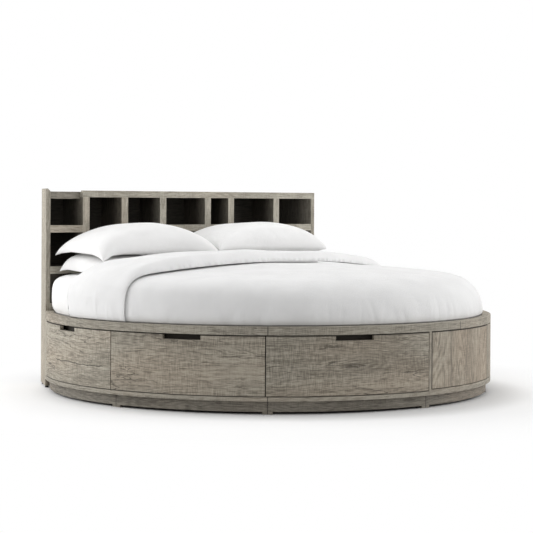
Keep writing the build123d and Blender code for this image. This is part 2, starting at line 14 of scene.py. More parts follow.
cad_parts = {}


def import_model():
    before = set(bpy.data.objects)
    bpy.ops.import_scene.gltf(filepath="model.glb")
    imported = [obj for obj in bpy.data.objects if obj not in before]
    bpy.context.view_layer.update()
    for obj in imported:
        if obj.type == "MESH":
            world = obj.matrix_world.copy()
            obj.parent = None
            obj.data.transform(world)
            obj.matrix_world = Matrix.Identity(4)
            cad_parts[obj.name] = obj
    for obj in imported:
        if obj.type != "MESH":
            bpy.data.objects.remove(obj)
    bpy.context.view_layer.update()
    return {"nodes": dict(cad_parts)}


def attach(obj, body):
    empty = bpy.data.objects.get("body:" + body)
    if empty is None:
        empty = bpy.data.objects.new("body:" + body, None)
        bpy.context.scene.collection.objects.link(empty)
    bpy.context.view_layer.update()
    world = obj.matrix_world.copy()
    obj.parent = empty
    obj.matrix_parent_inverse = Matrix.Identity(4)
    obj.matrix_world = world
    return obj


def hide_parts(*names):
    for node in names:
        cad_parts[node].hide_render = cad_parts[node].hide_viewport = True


log = logging.getLogger("round_bed")

BODY = "bed"

Point = tuple[float, float]
Triple = tuple[float, float, float]
Socket = bpy.types.NodeSocket

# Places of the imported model, metres
CENTRE_Y = 0.1455
PLATFORM_RADIUS = 1.22
RIM_TOP = 0.423
# FRONT_EDGES: heights of the fronts' top and bottom edges, where painted gap shadows lie
FRONT_EDGES = (0.379, 0.087)
SLAT_TOP = 0.3832
CASE_FRONT = 0.717

# The turned-back band: its rear edge and the middle of its hem from the circle's centre, and the hem's slope
FOLD_REAR = 0.232
HEM_MIDDLE = -0.04
HEM_SLOPE = 0.205

# The shares of the way out between which a layer's side is tucked in, and how much calmer its top is there
TUCKED = (0.86, 0.98)
CALM = 0.6

# How far towards the bookcase, and between which degrees from the foot, the profiles blend
HEAD_BLEND = (0.0, 0.22)
LEFT_BLEND = (-82.0, -18.0)

# How well a rounded edge's normal agrees with its face where the wear sets in and where it is full
EDGE_FACING = (0.995, 0.9)

# How near points are made one, metres: at a cut or a pillow's seam, and in a finished layer
WELD = 1e-6
SEAM_WELD = 2e-6


class Grain(Enum):
    """Which way a board's grain runs in the row frame."""

    ARC = "round the platform"
    ARC_UP = "upwards on the platform's curve"
    ALONG_X = "along X"
    ALONG_Y = "along Y"
    ALONG_Z = "along Z"


class Pattern(Enum):
    """Smooth noises: cycles per metre on each axis, and how many finer layers each has."""

    BEND = ((2.2, 7.0, 7.0), 2.0)
    STREAKS = ((2.2, 78.0, 78.0), 6.0)
    FIBRES = ((22.0, 420.0, 420.0), 4.0)
    PATCHES = ((1.6, 7.0, 7.0), 3.0)
    RINGS = ((0.9, 4.6, 4.6), 2.0)
    FLECKS = ((11.0, 190.0, 190.0), 3.0)
    GLINTS = ((14.0, 210.0, 210.0), 3.0)
    SAWN_AREAS = ((2.6, 6.0, 6.0), 2.0)
    SAW_MARKS = ((240.0, 22.0, 22.0), 2.0)
    CRACK_LINES = ((2.6, 17.0, 17.0), 4.0)
    CRACKED_AREAS = ((2.6, 8.0, 8.0), 1.0)
    WARM_AREAS = ((1.1, 3.0, 3.0), 1.0)
    WORN_EDGES = ((24.0, 60.0, 60.0), 2.0)
    BRANCHES = ((8.0, 46.0, 46.0), 2.0)
    CRACK_WANDER = ((11.0, 3.0, 3.0), 3.0)
    CREASES = ((7.0, 9.0, 7.0), 4.0)
    RIDGES = ((4.0, 5.0, 4.0), 3.0)
    SPANGLE = ((60.0, 60.0, 400.0), 2.0)
    SPECKS = ((900.0, 900.0, 900.0), 2.0)
    FLOOR_TONES = ((0.7, 0.7, 0.7), 2.0)


@dataclass(frozen=True)
class WoodFinish:
    """Colours and surface of one kind of board.

    Args:
        light: colour of the early wood, linear RGB.
        dark: colour of the late wood and pores, linear RGB.
        plank: width of a glued plank across the grain, metres.
        groove: how dark the joints between planks are, 0 to 1.
        saw: strength of the marks across the grain, 0 to 1.
        crack: strength of the drying cracks, 0 to 1.
        figure: strength of the flat-sawn growth rings, 0 to 1.
        wear: how much paler the edges are, 0 to 1.
        roughness: mean roughness.
    """

    light: Triple
    dark: Triple
    plank: float = 0.12
    groove: float = 0.0
    saw: float = 0.6
    crack: float = 0.7
    figure: float = 0.22
    wear: float = 0.5
    roughness: float = 0.7


@dataclass(frozen=True)
class ClothFinish:
    """Colour and relief of one cloth.

    Args:
        colour: its colour, linear RGB.
        wrinkle: strength of its soft creases, 0 to 1.
        weave: strength of its threads, 0 to 1.
    """

    colour: Triple
    wrinkle: float
    weave: float


OAK = WoodFinish((0.435, 0.395, 0.325), (0.16, 0.14, 0.11), plank=0.097, groove=0.1)
OAK_PALE = WoodFinish((0.5, 0.456, 0.378), (0.19, 0.167, 0.132), plank=0.097, groove=0.1)
OAK_PANEL = WoodFinish(
    (0.46, 0.405, 0.325), (0.18, 0.152, 0.118), plank=0.5, groove=0.35, saw=0.3, crack=0.3, figure=0.34
)
OAK_EDGE = WoodFinish((0.42, 0.385, 0.32), (0.18, 0.16, 0.13), plank=0.3, saw=0.4, crack=0.4)
OAK_CASE = WoodFinish((0.56, 0.52, 0.44), (0.27, 0.245, 0.2), plank=0.3, saw=0.35, crack=0.4)
OAK_SIDE = WoodFinish((0.47, 0.43, 0.36), (0.23, 0.205, 0.165), plank=0.3, saw=0.35, crack=0.4)
# SHADED_OAK is painted shade: a darker copy of the oak for the plinth under the ledge and for the shaded end
# top
SHADED_OAK = WoodFinish((0.3, 0.272, 0.228), (0.115, 0.102, 0.082), plank=0.3, saw=0.3, crack=0.3, wear=0.2)
# RECESS_SHADE is painted shade: a near-black board that darkens the cubbies, gaps and recesses where shade
# falls
RECESS_SHADE = WoodFinish((0.05, 0.043, 0.034), (0.02, 0.017, 0.013), plank=0.2, saw=0.2, crack=0.2, wear=0.1)
CARCASS = WoodFinish((0.46, 0.37, 0.26), (0.27, 0.2, 0.13), plank=0.09, groove=0.2, saw=0.1, crack=0.05)
PINE = WoodFinish((0.62, 0.46, 0.28), (0.4, 0.27, 0.14), plank=0.4, saw=0.1, crack=0.05)
SHEET = ClothFinish((0.93, 0.926, 0.92), 0.4, 0.5)
DUVET = ClothFinish((0.85, 0.848, 0.845), 0.3, 0.4)


@dataclass(frozen=True)
class Mark:
    """A drying crack at a chosen place on a curved front.

    Args:
        start: angle from the foot where it begins, degrees.
        end: angle where it ends.
        height: its height above the floor, metres.
        branching: whether it is a patch of short branching cracks or one long line.
    """

    start: float
    end: float
    height: float
    branching: bool = False


@dataclass(frozen=True)
class Coat:
    """Which wood a CAD node gets.

    Args:
        finish: the board.
        grain: which way its grain runs.
        seed: moves the pattern, so that no two nodes match.
        inside: a near-black board painted on the faces that don't point the shown way, as painted shade, or
            None.
        shown: the way that the faces point which keep their own colour.
        fade: how far behind the bookcase's front their own colour fades into that painted shade on the other
            faces, metres.
        seams: angles from the foot, in degrees, with a painted shade line where two boards meet.
        marks: its drying cracks.
        gap_shadows: heights of the edges with a painted shadow line in the gap beside them.
    """

    finish: WoodFinish
    grain: Grain
    seed: float
    inside: WoodFinish | None = None
    shown: Triple = (0.0, -1.0, 0.0)
    fade: float = 0.02
    seams: tuple[float, ...] = ()
    marks: tuple[Mark, ...] = ()
    gap_shadows: tuple[float, ...] = ()


class Signal:
    """A node's output. Each arithmetic sign on it adds one Math node."""

    def __init__(self, graph: "Graph", socket: Socket) -> None:
        """Keeps the output with its graph."""
        self.graph, self.socket = graph, socket

    def __add__(self, other: object) -> "Signal":
        """The sum."""
        return self.graph.math("ADD", self, other)

    def __sub__(self, other: object) -> "Signal":
        """The difference."""
        return self.graph.math("SUBTRACT", self, other)

    def __rsub__(self, other: float) -> "Signal":
        """A number less this output."""
        return self.graph.math("SUBTRACT", other, self)

    def __mul__(self, other: object) -> "Signal":
        """The product."""
        return self.graph.math("MULTIPLY", self, other)

    def __truediv__(self, other: object) -> "Signal":
        """The quotient."""
        return self.graph.math("DIVIDE", self, other)

    def __pow__(self, other: object) -> "Signal":
        """The power."""
        return self.graph.math("POWER", self, other)

    def __abs__(self) -> "Signal":
        """The size without its sign."""
        return self.graph.math("ABSOLUTE", self)


class Graph:
    """Short calls for building one node tree. A value is a signal, a socket or a constant."""

    def __init__(self, tree: bpy.types.NodeTree) -> None:
        """Takes the tree that the nodes go into."""
        self.tree = tree

    def add(self, kind: str, **settings: object) -> bpy.types.Node:
        """Adds a node.

        Args:
            kind: the node's type.
            settings: its properties.

        Returns:
            The node.
        """
        node = self.tree.nodes.new(kind)
        for name, value in settings.items():
            setattr(node, name, value)
        return node

    def feed(self, socket: Socket, value: object) -> None:
        """Links an input to a value, or sets it. A colour of three numbers is made opaque.

        Args:
            socket: the input.
            value: what goes into it.
        """
        value = value.socket if isinstance(value, Signal) else value
        if isinstance(value, Socket):
            self.tree.links.new(value, socket)
        elif socket.type == "RGBA" and len(value) == 3:
            socket.default_value = (*value, 1.0)
        else:
            socket.default_value = value

    def fill(self, node: bpy.types.Node, *values: object) -> bpy.types.Node:
        """Fills a node's first inputs in order.

        Args:
            node: the node.
            values: one for each input.

        Returns:
            The node.
        """
        for socket, value in zip(node.inputs, values):
            self.feed(socket, value)
        return node

    def math(self, operation: str, first: object, second: object = 0.0, clamp: bool = False) -> Signal:
        """One arithmetic step on numbers."""
        node = self.add("ShaderNodeMath", operation=operation, use_clamp=clamp)
        return Signal(self, self.fill(node, first, second).outputs[0])

    def vector(self, operation: str, first: object, second: object = (0.0, 0.0, 0.0)) -> Signal:
        """One arithmetic step on vectors."""
        node = self.fill(self.add("ShaderNodeVectorMath", operation=operation), first, second)
        return Signal(self, node.outputs["Value" if operation in ("DOT_PRODUCT", "LENGTH") else "Vector"])

    def join(self, *parts: object) -> Signal:
        """A vector from three numbers."""
        return Signal(self, self.fill(self.add("ShaderNodeCombineXYZ"), *parts).outputs[0])

    def split(self, vector: object) -> list[Signal]:
        """A vector's three numbers."""
        return [Signal(self, part) for part in self.fill(self.add("ShaderNodeSeparateXYZ"), vector).outputs]

    def place(self) -> Signal:
        """The place on the object, which is the place in the row frame."""
        return Signal(self, self.add("ShaderNodeTexCoord").outputs["Object"])

    def noise(self, vector: object, pattern: Pattern) -> Signal:
        """One of the smooth noises.

        Args:
            vector: where it is read.
            pattern: which one.

        Returns:
            Its value, about 0.5 on average.
        """
        scale, detail = pattern.value
        node = self.add("ShaderNodeTexNoise")
        self.feed(node.inputs["Vector"], self.vector("MULTIPLY", vector, scale))
        node.inputs["Scale"].default_value = 1.0
        node.inputs["Detail"].default_value = detail
        return Signal(self, node.outputs["Fac"])

    def ease(self, value: object, low: float, high: float, start: float = 0.0, end: float = 1.0) -> Signal:
        """Maps the range from low to high smoothly to the range from start to end."""
        node = self.add("ShaderNodeMapRange", interpolation_type="SMOOTHSTEP")
        return Signal(self, self.fill(node, value, low, high, start, end).outputs[0])

    def blend(self, factor: object, first: object, second: object) -> Socket:
        """Mixes two shaders."""
        return self.fill(self.add("ShaderNodeMixShader"), factor, first, second).outputs[0]

    def mix(self, factor: object, first: object, second: object, kind: str = "MIX") -> Signal:
        """Mixes two colours.

        Args:
            factor: the second colour's share.
            first: a colour.
            second: another.
            kind: the blend type.

        Returns:
            The mixed colour.
        """
        node = self.add("ShaderNodeMix", data_type="RGBA", blend_type=kind)
        for number, value in ((0, factor), (6, first), (7, second)):
            self.feed(node.inputs[number], value)
        return Signal(self, node.outputs[2])

    def group(self, tree: bpy.types.NodeTree, **values: object) -> dict[str, Signal]:
        """Places a node group.

        Args:
            tree: the group.
            values: what goes into its inputs.

        Returns:
            Its outputs by name.
        """
        node = self.add("ShaderNodeGroup", node_tree=tree)
        for name, value in values.items():
            self.feed(node.inputs[name], value)
        return {socket.name: Signal(self, socket) for socket in node.outputs}

    def bump(self, height: object, distance: float, strength: object = 1.0, normal: object = None) -> Signal:
        """A normal that is tilted by a height.

        Args:
            height: the height, in shares of the distance.
            distance: how high a height of 1 stands, metres.
            strength: how much of it is used.
            normal: the normal that it starts from, or None for the surface's own.

        Returns:
            The normal.
        """
        node = self.add("ShaderNodeBump")
        node.inputs["Distance"].default_value = distance
        self.feed(node.inputs["Strength"], strength)
        self.feed(node.inputs["Height"], height)
        if normal is not None:
            self.feed(node.inputs["Normal"], normal)
        return Signal(self, node.outputs[0])


class Group:
    """A shader node group that is being built."""

    def __init__(
        self, name: str, outputs: dict[str, str], numbers: tuple[str, ...] = (),
        colours: tuple[str, ...] = (), vectors: tuple[str, ...] = (),
    ) -> None:
        """Makes the tree, its sockets and its end nodes.

        Args:
            name: the group's name.
            outputs: names and types of its outputs.
            numbers: names of its number inputs.
            colours: names of its colour inputs.
            vectors: names of its vector inputs.
        """
        self.tree = bpy.data.node_groups.new(name, "ShaderNodeTree")
        self.graph = Graph(self.tree)
        sockets = [("INPUT", label, "Vector") for label in vectors]
        sockets += [("INPUT", label, "Color") for label in colours]
        sockets += [("INPUT", label, "Float") for label in numbers]
        sockets += [("OUTPUT", label, kind) for label, kind in outputs.items()]
        for direction, label, kind in sockets:
            self.tree.interface.new_socket(name=label, in_out=direction, socket_type=f"NodeSocket{kind}")
        self.given = {}
        if numbers or colours or vectors:
            source = self.graph.add("NodeGroupInput")
            self.given = {socket.name: Signal(self.graph, socket) for socket in source.outputs if socket.name}
        self.target = self.graph.add("NodeGroupOutput")

    def give(self, **results: object) -> bpy.types.NodeTree:
        """Feeds the outputs.

        Args:
            results: what goes into each output.

        Returns:
            The finished tree.
        """
        for name, value in results.items():
            self.graph.feed(self.target.inputs[name], value)
        return self.tree


def edge_wear_group() -> bpy.types.NodeTree:
    """A mask that is 1 on worn edges and 0 on faces, and the rounded edges' normal.

    Returns:
        The group.
    """
    group = Group("edge wear", {"Mask": "Float", "Normal": "Vector"}, ("Radius",))
    graph = group.graph
    rounded_edge = graph.fill(graph.add("ShaderNodeBevel", samples=4), group.given["Radius"]).outputs[0]
    face = graph.add("ShaderNodeNewGeometry").outputs["Normal"]
    facing = graph.vector("DOT_PRODUCT", rounded_edge, face)
    return group.give(Mask=graph.ease(facing, *EDGE_FACING), Normal=rounded_edge)


def grain_space_group(grain: Grain) -> bpy.types.NodeTree:
    """Turns a place on the object into distances along, across and into the grain.

    Args:
        grain: which way the grain runs.

    Returns:
        The group.
    """
    group = Group(f"grain {grain.value}", {"Vector": "Vector"})
    graph = group.graph
    x, y, z = graph.split(graph.place())
    if grain in (Grain.ARC, Grain.ARC_UP):
        inward = CENTRE_Y - y
        round_way = graph.math("ARCTAN2", x, inward) * PLATFORM_RADIUS
        reach = graph.math("SQRT", x * x + inward * inward)
        axes = (round_way, z, reach) if grain is Grain.ARC else (z, round_way, reach)
    else:
        axes = {Grain.ALONG_X: (x, z, y), Grain.ALONG_Y: (y, x, z), Grain.ALONG_Z: (z, x, y)}[grain]
    return group.give(Vector=graph.join(*axes))


@dataclass(frozen=True)
class BoardPattern:
    """The node group of a weathered board: streaks, fibres, saw marks, cracks, knots and plank joints.

    Args:
        seed_step: how far one step of the seed moves the pattern, along and across the grain.
        bend: how far the grain wanders sideways, metres.
        ring_turns: how often the flat-sawn figure repeats over its noise.
        ring_power: how thin the figure's lines are.
        knot_spacing: knots per metre on each axis.
        knot_rarity: the share of places without a knot.
        plank_tone: how much planks differ in tone.
        streak_tone: how much the streaks change the tone.
        patch_tone: the same for the patches.
        fibre_tone: the same for the fibres.
        saw_tone: the same for the saw marks.
        fleck_tone: how dark the flecks are.
        glint_tone: how pale the glints are.
        lift: how much paler the board is than the middle of its two colours.
        crack_shade: how dark a crack is.
        knot_shade: how dark a knot is.
        cool: the cooler areas' tint.
        warm: the warmer areas' tint.
        dirt_and_shade: the colour that cracks tend to.
        dirt_share: how far they tend to it.
        fleck_range: the noise values between which a fleck sets in.
        glint_range: the same for a glint.
        sawn_range: the same for the areas with strong saw marks.
        sawn_least: how strong the saw marks are elsewhere.
        warm_range: the same for the warmer areas.
        cracked_range: the same for the areas with cracks.
        crack_width: how near the noise's middle a crack sets in and is full.
        knot_width: how near its cell's middle a knot sets in and is full.
        joint_width: how far from a plank's middle, in planks, a joint sets in and is full.
        gloss_swing: how much the streaks change the roughness.
        heights: how high streaks, fibres and saw marks stand, and how deep the dark parts lie.
    """

    seed_step: Point = (3.7, 1.3)
    bend: float = 0.05
    ring_turns: float = 95.0
    ring_power: float = 3.0
    knot_spacing: Triple = (1.9, 5.4, 1.0)
    knot_rarity: float = 0.72
    plank_tone: float = 0.22
    streak_tone: float = 0.95
    patch_tone: float = 0.9
    fibre_tone: float = 1.9
    saw_tone: float = 2.6
    fleck_tone: float = 0.6
    glint_tone: float = 0.4
    lift: float = 0.12
    crack_shade: float = 0.95
    knot_shade: float = 0.6
    cool: Triple = (0.99, 1.0, 1.0)
    warm: Triple = (1.03, 0.99, 0.96)
    dirt_and_shade: Triple = (0.01, 0.008, 0.006)
    dirt_share: float = 0.65
    fleck_range: Point = (0.58, 0.66)
    glint_range: Point = (0.6, 0.68)
    sawn_range: Point = (0.35, 0.6)
    sawn_least: float = 0.35
    warm_range: Point = (0.45, 0.7)
    cracked_range: Point = (0.53, 0.6)
    crack_width: Point = (0.016, 0.004)
    knot_width: Point = (0.1, 0.02)
    joint_width: Point = (0.478, 0.494)
    gloss_swing: float = 0.25
    heights: tuple[float, float, float, float] = (0.5, 0.25, 0.9, 1.2)

    def build(self) -> bpy.types.NodeTree:
        """Builds the group.

        Returns:
            The group, with the outputs Color, Roughness and Height.
        """
        outputs = {"Color": "Color", "Roughness": "Float", "Height": "Float"}
        numbers = ("Seed", "Plank", "Groove", "Saw", "Crack", "Figure", "Roughness")
        group = Group("weathered board", outputs, numbers, ("Light", "Dark"), ("Vector",))
        graph, given = group.graph, group.given
        seed = given["Seed"]
        offset = graph.join(seed * self.seed_step[0], seed * self.seed_step[1], seed)
        place = graph.vector("ADD", given["Vector"], offset)
        bend = (graph.noise(place, Pattern.BEND) - 0.5) * self.bend
        wavy = graph.vector("ADD", place, graph.join(0.0, bend, bend))
        streak = graph.noise(wavy, Pattern.STREAKS)
        fibre = graph.noise(wavy, Pattern.FIBRES)
        patch = graph.noise(place, Pattern.PATCHES)
        figure = graph.noise(place, Pattern.RINGS) * self.ring_turns
        rings = abs(graph.math("SINE", figure)) ** self.ring_power
        fleck = graph.ease(graph.noise(wavy, Pattern.FLECKS), *self.fleck_range)
        glint = graph.ease(graph.noise(place, Pattern.GLINTS), *self.glint_range)
        sawn = graph.ease(graph.noise(place, Pattern.SAWN_AREAS), *self.sawn_range, self.sawn_least)
        saw = (graph.noise(place, Pattern.SAW_MARKS) - 0.5) * sawn * given["Saw"]
        tone, joint = self.planks(graph, place, given)
        level = (streak - 0.5) * self.streak_tone + (patch - 0.5) * self.patch_tone
        level = level + (fibre - 0.5) * self.fibre_tone + saw * self.saw_tone - rings * given["Figure"]
        level = level - fleck * self.fleck_tone + glint * self.glint_tone + self.lift + tone
        level = graph.math("ADD", level, 0.5, clamp=True)
        areas = graph.ease(graph.noise(place, Pattern.WARM_AREAS), *self.warm_range)
        tint = graph.mix(areas, self.cool, self.warm)
        tinted = graph.mix(1.0, graph.mix(level, given["Dark"], given["Light"]), tint, "MULTIPLY")
        faults = graph.math("MAXIMUM", *self.faults(graph, place, wavy, given["Crack"]))
        shade = graph.math("MAXIMUM", faults, joint, clamp=True)
        streaks, fibres, saw_marks, dark_parts = self.heights
        relief = streak * streaks + fibre * fibres + saw * saw_marks - shade * dark_parts
        return group.give(
            Color=graph.mix(shade, tinted, graph.mix(self.dirt_share, given["Dark"], self.dirt_and_shade)),
            Roughness=given["Roughness"] + (streak - 0.5) * self.gloss_swing, Height=relief,
        )

    def planks(self, graph: Graph, place: Signal, given: dict[str, Signal]) -> tuple[Signal, Signal]:
        """The glued planks.

        Args:
            graph: the group's graph.
            place: where on the board.
            given: the group's inputs.

        Returns:
            Each plank's own tone, and the mask of the joints.
        """
        count = graph.split(place)[1] / given["Plank"]
        whole = graph.math("FLOOR", count)
        random_tone = graph.add("ShaderNodeTexWhiteNoise", noise_dimensions="1D")
        graph.feed(random_tone.inputs["W"], whole + given["Seed"])
        tone = (Signal(graph, random_tone.outputs["Value"]) - 0.5) * self.plank_tone
        return tone, graph.ease(abs(count - whole - 0.5), *self.joint_width) * given["Groove"]

    def faults(self, graph: Graph, place: Signal, wavy: Signal, strength: Signal) -> tuple[Signal, Signal]:
        """The drying cracks and the knots.

        Args:
            graph: the group's graph.
            place: where on the board.
            wavy: the same, bent with the grain.
            strength: how strong they are.

        Returns:
            The masks of the cracks and of the knots.
        """
        line = abs(graph.noise(wavy, Pattern.CRACK_LINES) - 0.5)
        cracked = graph.ease(graph.noise(place, Pattern.CRACKED_AREAS), *self.cracked_range)
        crack = graph.ease(line, *self.crack_width) * cracked * strength
        cells = graph.add("ShaderNodeTexVoronoi")
        graph.feed(cells.inputs["Vector"], graph.vector("MULTIPLY", wavy, self.knot_spacing))
        cells.inputs["Scale"].default_value = 1.0
        lot = graph.vector("DOT_PRODUCT", cells.outputs["Color"], (1.0, 0.0, 0.0))
        chosen = graph.math("GREATER_THAN", lot, self.knot_rarity)
        knot = graph.ease(cells.outputs["Distance"], *self.knot_width) * chosen * strength
        return crack * self.crack_shade, knot * self.knot_shade


@dataclass(frozen=True)
class ClothPattern:
    """The node group of cotton relief: a fine plain weave over soft creases.

    Args:
        crease_shares: how much of the height comes from the creases and from the ridges among them.
        crease_height: height of the creases, metres.
        shade_range: the crease heights, as shares, between which the cloth gets lighter.
        thread_scale: how close the threads lie.
        thread_wander: how far they wander.
        thread_height: height of a thread, metres.
    """

    crease_shares: Point = (0.6, 0.7)
    crease_height: float = 0.02
    shade_range: Point = (0.3, 0.7)
    thread_scale: float = 260.0
    thread_wander: float = 0.4
    thread_height: float = 0.0004

    def build(self) -> bpy.types.NodeTree:
        """Builds the group.

        Returns:
            The group, with the outputs Normal and Shade.
        """
        group = Group("cotton relief", {"Normal": "Vector", "Shade": "Float"}, ("Wrinkle", "Weave"))
        graph, given = group.graph, group.given
        place = graph.place()
        creases = graph.noise(place, Pattern.CREASES)
        ridge = abs(graph.noise(place, Pattern.RIDGES) - 0.5)
        height = creases * self.crease_shares[0] + ridge * self.crease_shares[1]
        soft = graph.bump(height, self.crease_height, given["Wrinkle"])
        threads = []
        for bands in ("X", "Y"):
            wave = graph.add("ShaderNodeTexWave", bands_direction=bands)
            graph.feed(wave.inputs["Vector"], place)
            wave.inputs["Scale"].default_value = self.thread_scale
            wave.inputs["Distortion"].default_value = self.thread_wander
            threads.append(wave.outputs["Fac"])
        fine = graph.bump(graph.math("ADD", *threads), self.thread_height, given["Weave"], soft)
        return group.give(Normal=fine, Shade=graph.ease(creases, *self.shade_range))


class Palette:
    """Makes each material once and hands it out by name.

    Attributes:
        dirt_and_shade: colour of the boards' cracks, and of the painted shade at their seams and in the gaps
            beside their edges.
        line_shade: how dark the painted shade lines at seams and edges are.
        seam_width: how near a seam's middle it sets in and is full, metres.
        edge_width: the same for a painted gap shadow at an edge.
        crack_width: the same for a long crack.
        crack_shade: how dark a long crack is.
        crack_wander: over what height a long crack may wander, metres.
        crack_end: over what length it fades out, metres.
        branch_width: how near the noise's middle a branching crack sets in and is full.
        branch_shade: how dark branching cracks are.
        branch_height: height of their patch beside its length.
        worn_radius: how far in from an edge the wear reaches, metres.
        worn_range: the noise values between which the wear sets in.
        worn_gain: how much paler worn wood is.
        facing_range: how far a face may turn from the shown way before it is fully in painted shade and
            before it keeps its own colour.
        near_share: how much of its own colour a face in painted shade keeps at the bookcase's front.
        relief_height: height of the wood's relief, metres.
        relief_strength: how much of that relief is used.
        cloth_shadow: how dark the cloth's hollows are.
        tuck_shadow: colour of the painted shadow line where a cloth is tucked in.
        tuck_shade: how dark that line is.
        tuck_line: how high above the rim it starts to fade and has gone, metres.
    """

    dirt_and_shade: Triple = (0.02, 0.017, 0.013)
    line_shade: float = 0.85
    seam_width: Point = (0.003, 0.0012)
    edge_width: Point = (0.0045, 0.0015)
    crack_width: Point = (0.0032, 0.0012)
    crack_shade: float = 0.9
    crack_wander: float = 0.03
    crack_end: float = 0.03
    branch_width: Point = (0.03, 0.008)
    branch_shade: float = 0.6
    branch_height: float = 0.6
    worn_radius: float = 0.0025
    worn_range: Point = (0.4, 0.6)
    worn_gain: float = 1.35
    facing_range: Point = (0.4, 0.7)
    near_share: float = 0.42
    relief_height: float = 0.0025
    relief_strength: float = 0.55
    cloth_shadow: float = 0.95
    tuck_shadow: Triple = (0.06, 0.054, 0.045)
    tuck_shade: float = 0.8
    tuck_line: Point = (0.003, 0.0085)

    def __init__(self) -> None:
        """Builds the node groups that the materials share."""
        self.wear = edge_wear_group()
        self.boards = BoardPattern().build()
        self.cloth = ClothPattern().build()
        self.spaces = {grain: grain_space_group(grain) for grain in Grain}
        self.made: dict[str, bpy.types.Material] = {}

    def start(self, name: str, roughness: float = 0.5, specular: float = 0.5) -> tuple[Graph, bpy.types.Node]:
        """Starts a material with one principled shader.

        Args:
            name: the material's name.
            roughness: its roughness where nothing else is fed in.
            specular: its specular level.

        Returns:
            The material's graph and its shader.
        """
        material = bpy.data.materials.new(name)
        material.use_nodes = True
        shader = find_node(material.node_tree, "BSDF_PRINCIPLED")
        shader.inputs["Roughness"].default_value = roughness
        shader.inputs["Specular IOR Level"].default_value = specular
        self.made[name] = material
        return Graph(material.node_tree), shader

    def board(self, graph: Graph, finish: WoodFinish, space: Signal, seed: float) -> dict[str, Signal]:
        """Places the board group with a finish's values.

        Args:
            graph: the material's graph.
            finish: the board.
            space: the place in the grain's own directions.
            seed: moves the pattern.

        Returns:
            The group's outputs by name.
        """
        return graph.group(
            self.boards, Vector=space, Seed=seed, Light=finish.light, Dark=finish.dark, Plank=finish.plank,
            Groove=finish.groove, Saw=finish.saw, Crack=finish.crack, Figure=finish.figure,
            Roughness=finish.roughness,
        )

    def mark(self, graph: Graph, space: Signal, mark: Mark) -> Signal:
        """A long crack along the grain, or a patch of branching ones.

        Args:
            graph: the material's graph.
            space: the place in the grain's own directions.
            mark: which crack.

        Returns:
            Its mask.
        """
        along, across, _ = graph.split(space)
        start, end = (PLATFORM_RADIUS * math.radians(angle) for angle in (mark.start, mark.end))
        away = across - mark.height
        if mark.branching:
            half = (end - start) / 2
            run = (along - (start + end) / 2) / half
            rise = away / (half * self.branch_height)
            line = abs(graph.noise(space, Pattern.BRANCHES) - 0.5)
            patch = graph.ease(run * run + rise * rise, 1.0, 0.5, 0.0, self.branch_shade)
            return graph.ease(line, *self.branch_width) * patch
        line = abs(away + (graph.noise(space, Pattern.CRACK_WANDER) - 0.5) * self.crack_wander)
        first_end = graph.ease(along, start, start + self.crack_end)
        last_end = graph.ease(along, end, end - self.crack_end)
        return graph.ease(line, *self.crack_width, 0.0, self.crack_shade) * (first_end * last_end)

    def line(self, graph: Graph, away: Signal, width: Point) -> Signal:
        """The mask of a dark line, from the distance to its middle."""
        return graph.ease(away, *width, 0.0, self.line_shade)

    def masks(self, graph: Graph, space: Signal, coat: Coat) -> list[Signal]:
        """The dark lines of a coat: the painted shade at its seams, its cracks, and the painted shadow in the
        gaps beside its edges.

        Args:
            graph: the material's graph.
            space: the place in the grain's own directions.
            coat: whose lines.

        Returns:
            A mask for each line.
        """
        masks = []
        if coat.seams:
            round_way = graph.split(space)[1 if coat.grain is Grain.ARC_UP else 0]
            places = [PLATFORM_RADIUS * math.radians(angle) for angle in coat.seams]
            masks += [self.line(graph, abs(round_way - place), self.seam_width) for place in places]
        masks += [self.mark(graph, space, mark) for mark in coat.marks]
        # Painted shadow in the gaps beside the fronts' edges
        if coat.gap_shadows:
            height = graph.split(graph.place())[2]
            masks += [self.line(graph, abs(height - edge), self.edge_width) for edge in coat.gap_shadows]
        return masks

    def wood(self, name: str, coat: Coat) -> bpy.types.Material:
        """A weathered board material, with painted shade on its hidden faces where the coat has an inside
        board.

        Args:
            name: the material's name.
            coat: the board.

        Returns:
            The material.
        """
        finish = coat.finish
        graph, shader = self.start(name, specular=0.3)
        space = graph.group(self.spaces[coat.grain])["Vector"]
        board = self.board(graph, finish, space, coat.seed)
        wear = graph.group(self.wear, Radius=self.worn_radius)
        pale = tuple(min(1.0, channel * self.worn_gain) for channel in finish.light)
        rough_edge = graph.ease(graph.noise(space, Pattern.WORN_EDGES), *self.worn_range)
        colour = graph.mix(wear["Mask"] * rough_edge * finish.wear, board["Color"], pale)
        # Painted shade: faces turned from the shown way take the near-black inside board, more of it further
        # behind the bookcase's front
        if coat.inside is not None:
            inside = self.board(graph, coat.inside, space, coat.seed)
            normal = graph.add("ShaderNodeTexCoord").outputs["Normal"]
            facing = graph.ease(graph.vector("DOT_PRODUCT", normal, coat.shown), *self.facing_range)
            front = CENTRE_Y + CASE_FRONT
            near = graph.ease(graph.split(graph.place())[1], front, front + coat.fade, self.near_share, 0.0)
            colour = graph.mix(graph.math("MAXIMUM", facing, near), inside["Color"], colour)
        # Seam and gap lines are painted shade; the long cracks are the wood's own dark marks
        for mask in self.masks(graph, space, coat):
            colour = graph.mix(mask, colour, self.dirt_and_shade)
        graph.feed(shader.inputs["Base Color"], colour)
        graph.feed(shader.inputs["Roughness"], board["Roughness"])
        relief = graph.bump(board["Height"], self.relief_height, self.relief_strength, wear["Normal"])
        graph.feed(shader.inputs["Normal"], relief)
        return self.made[name]

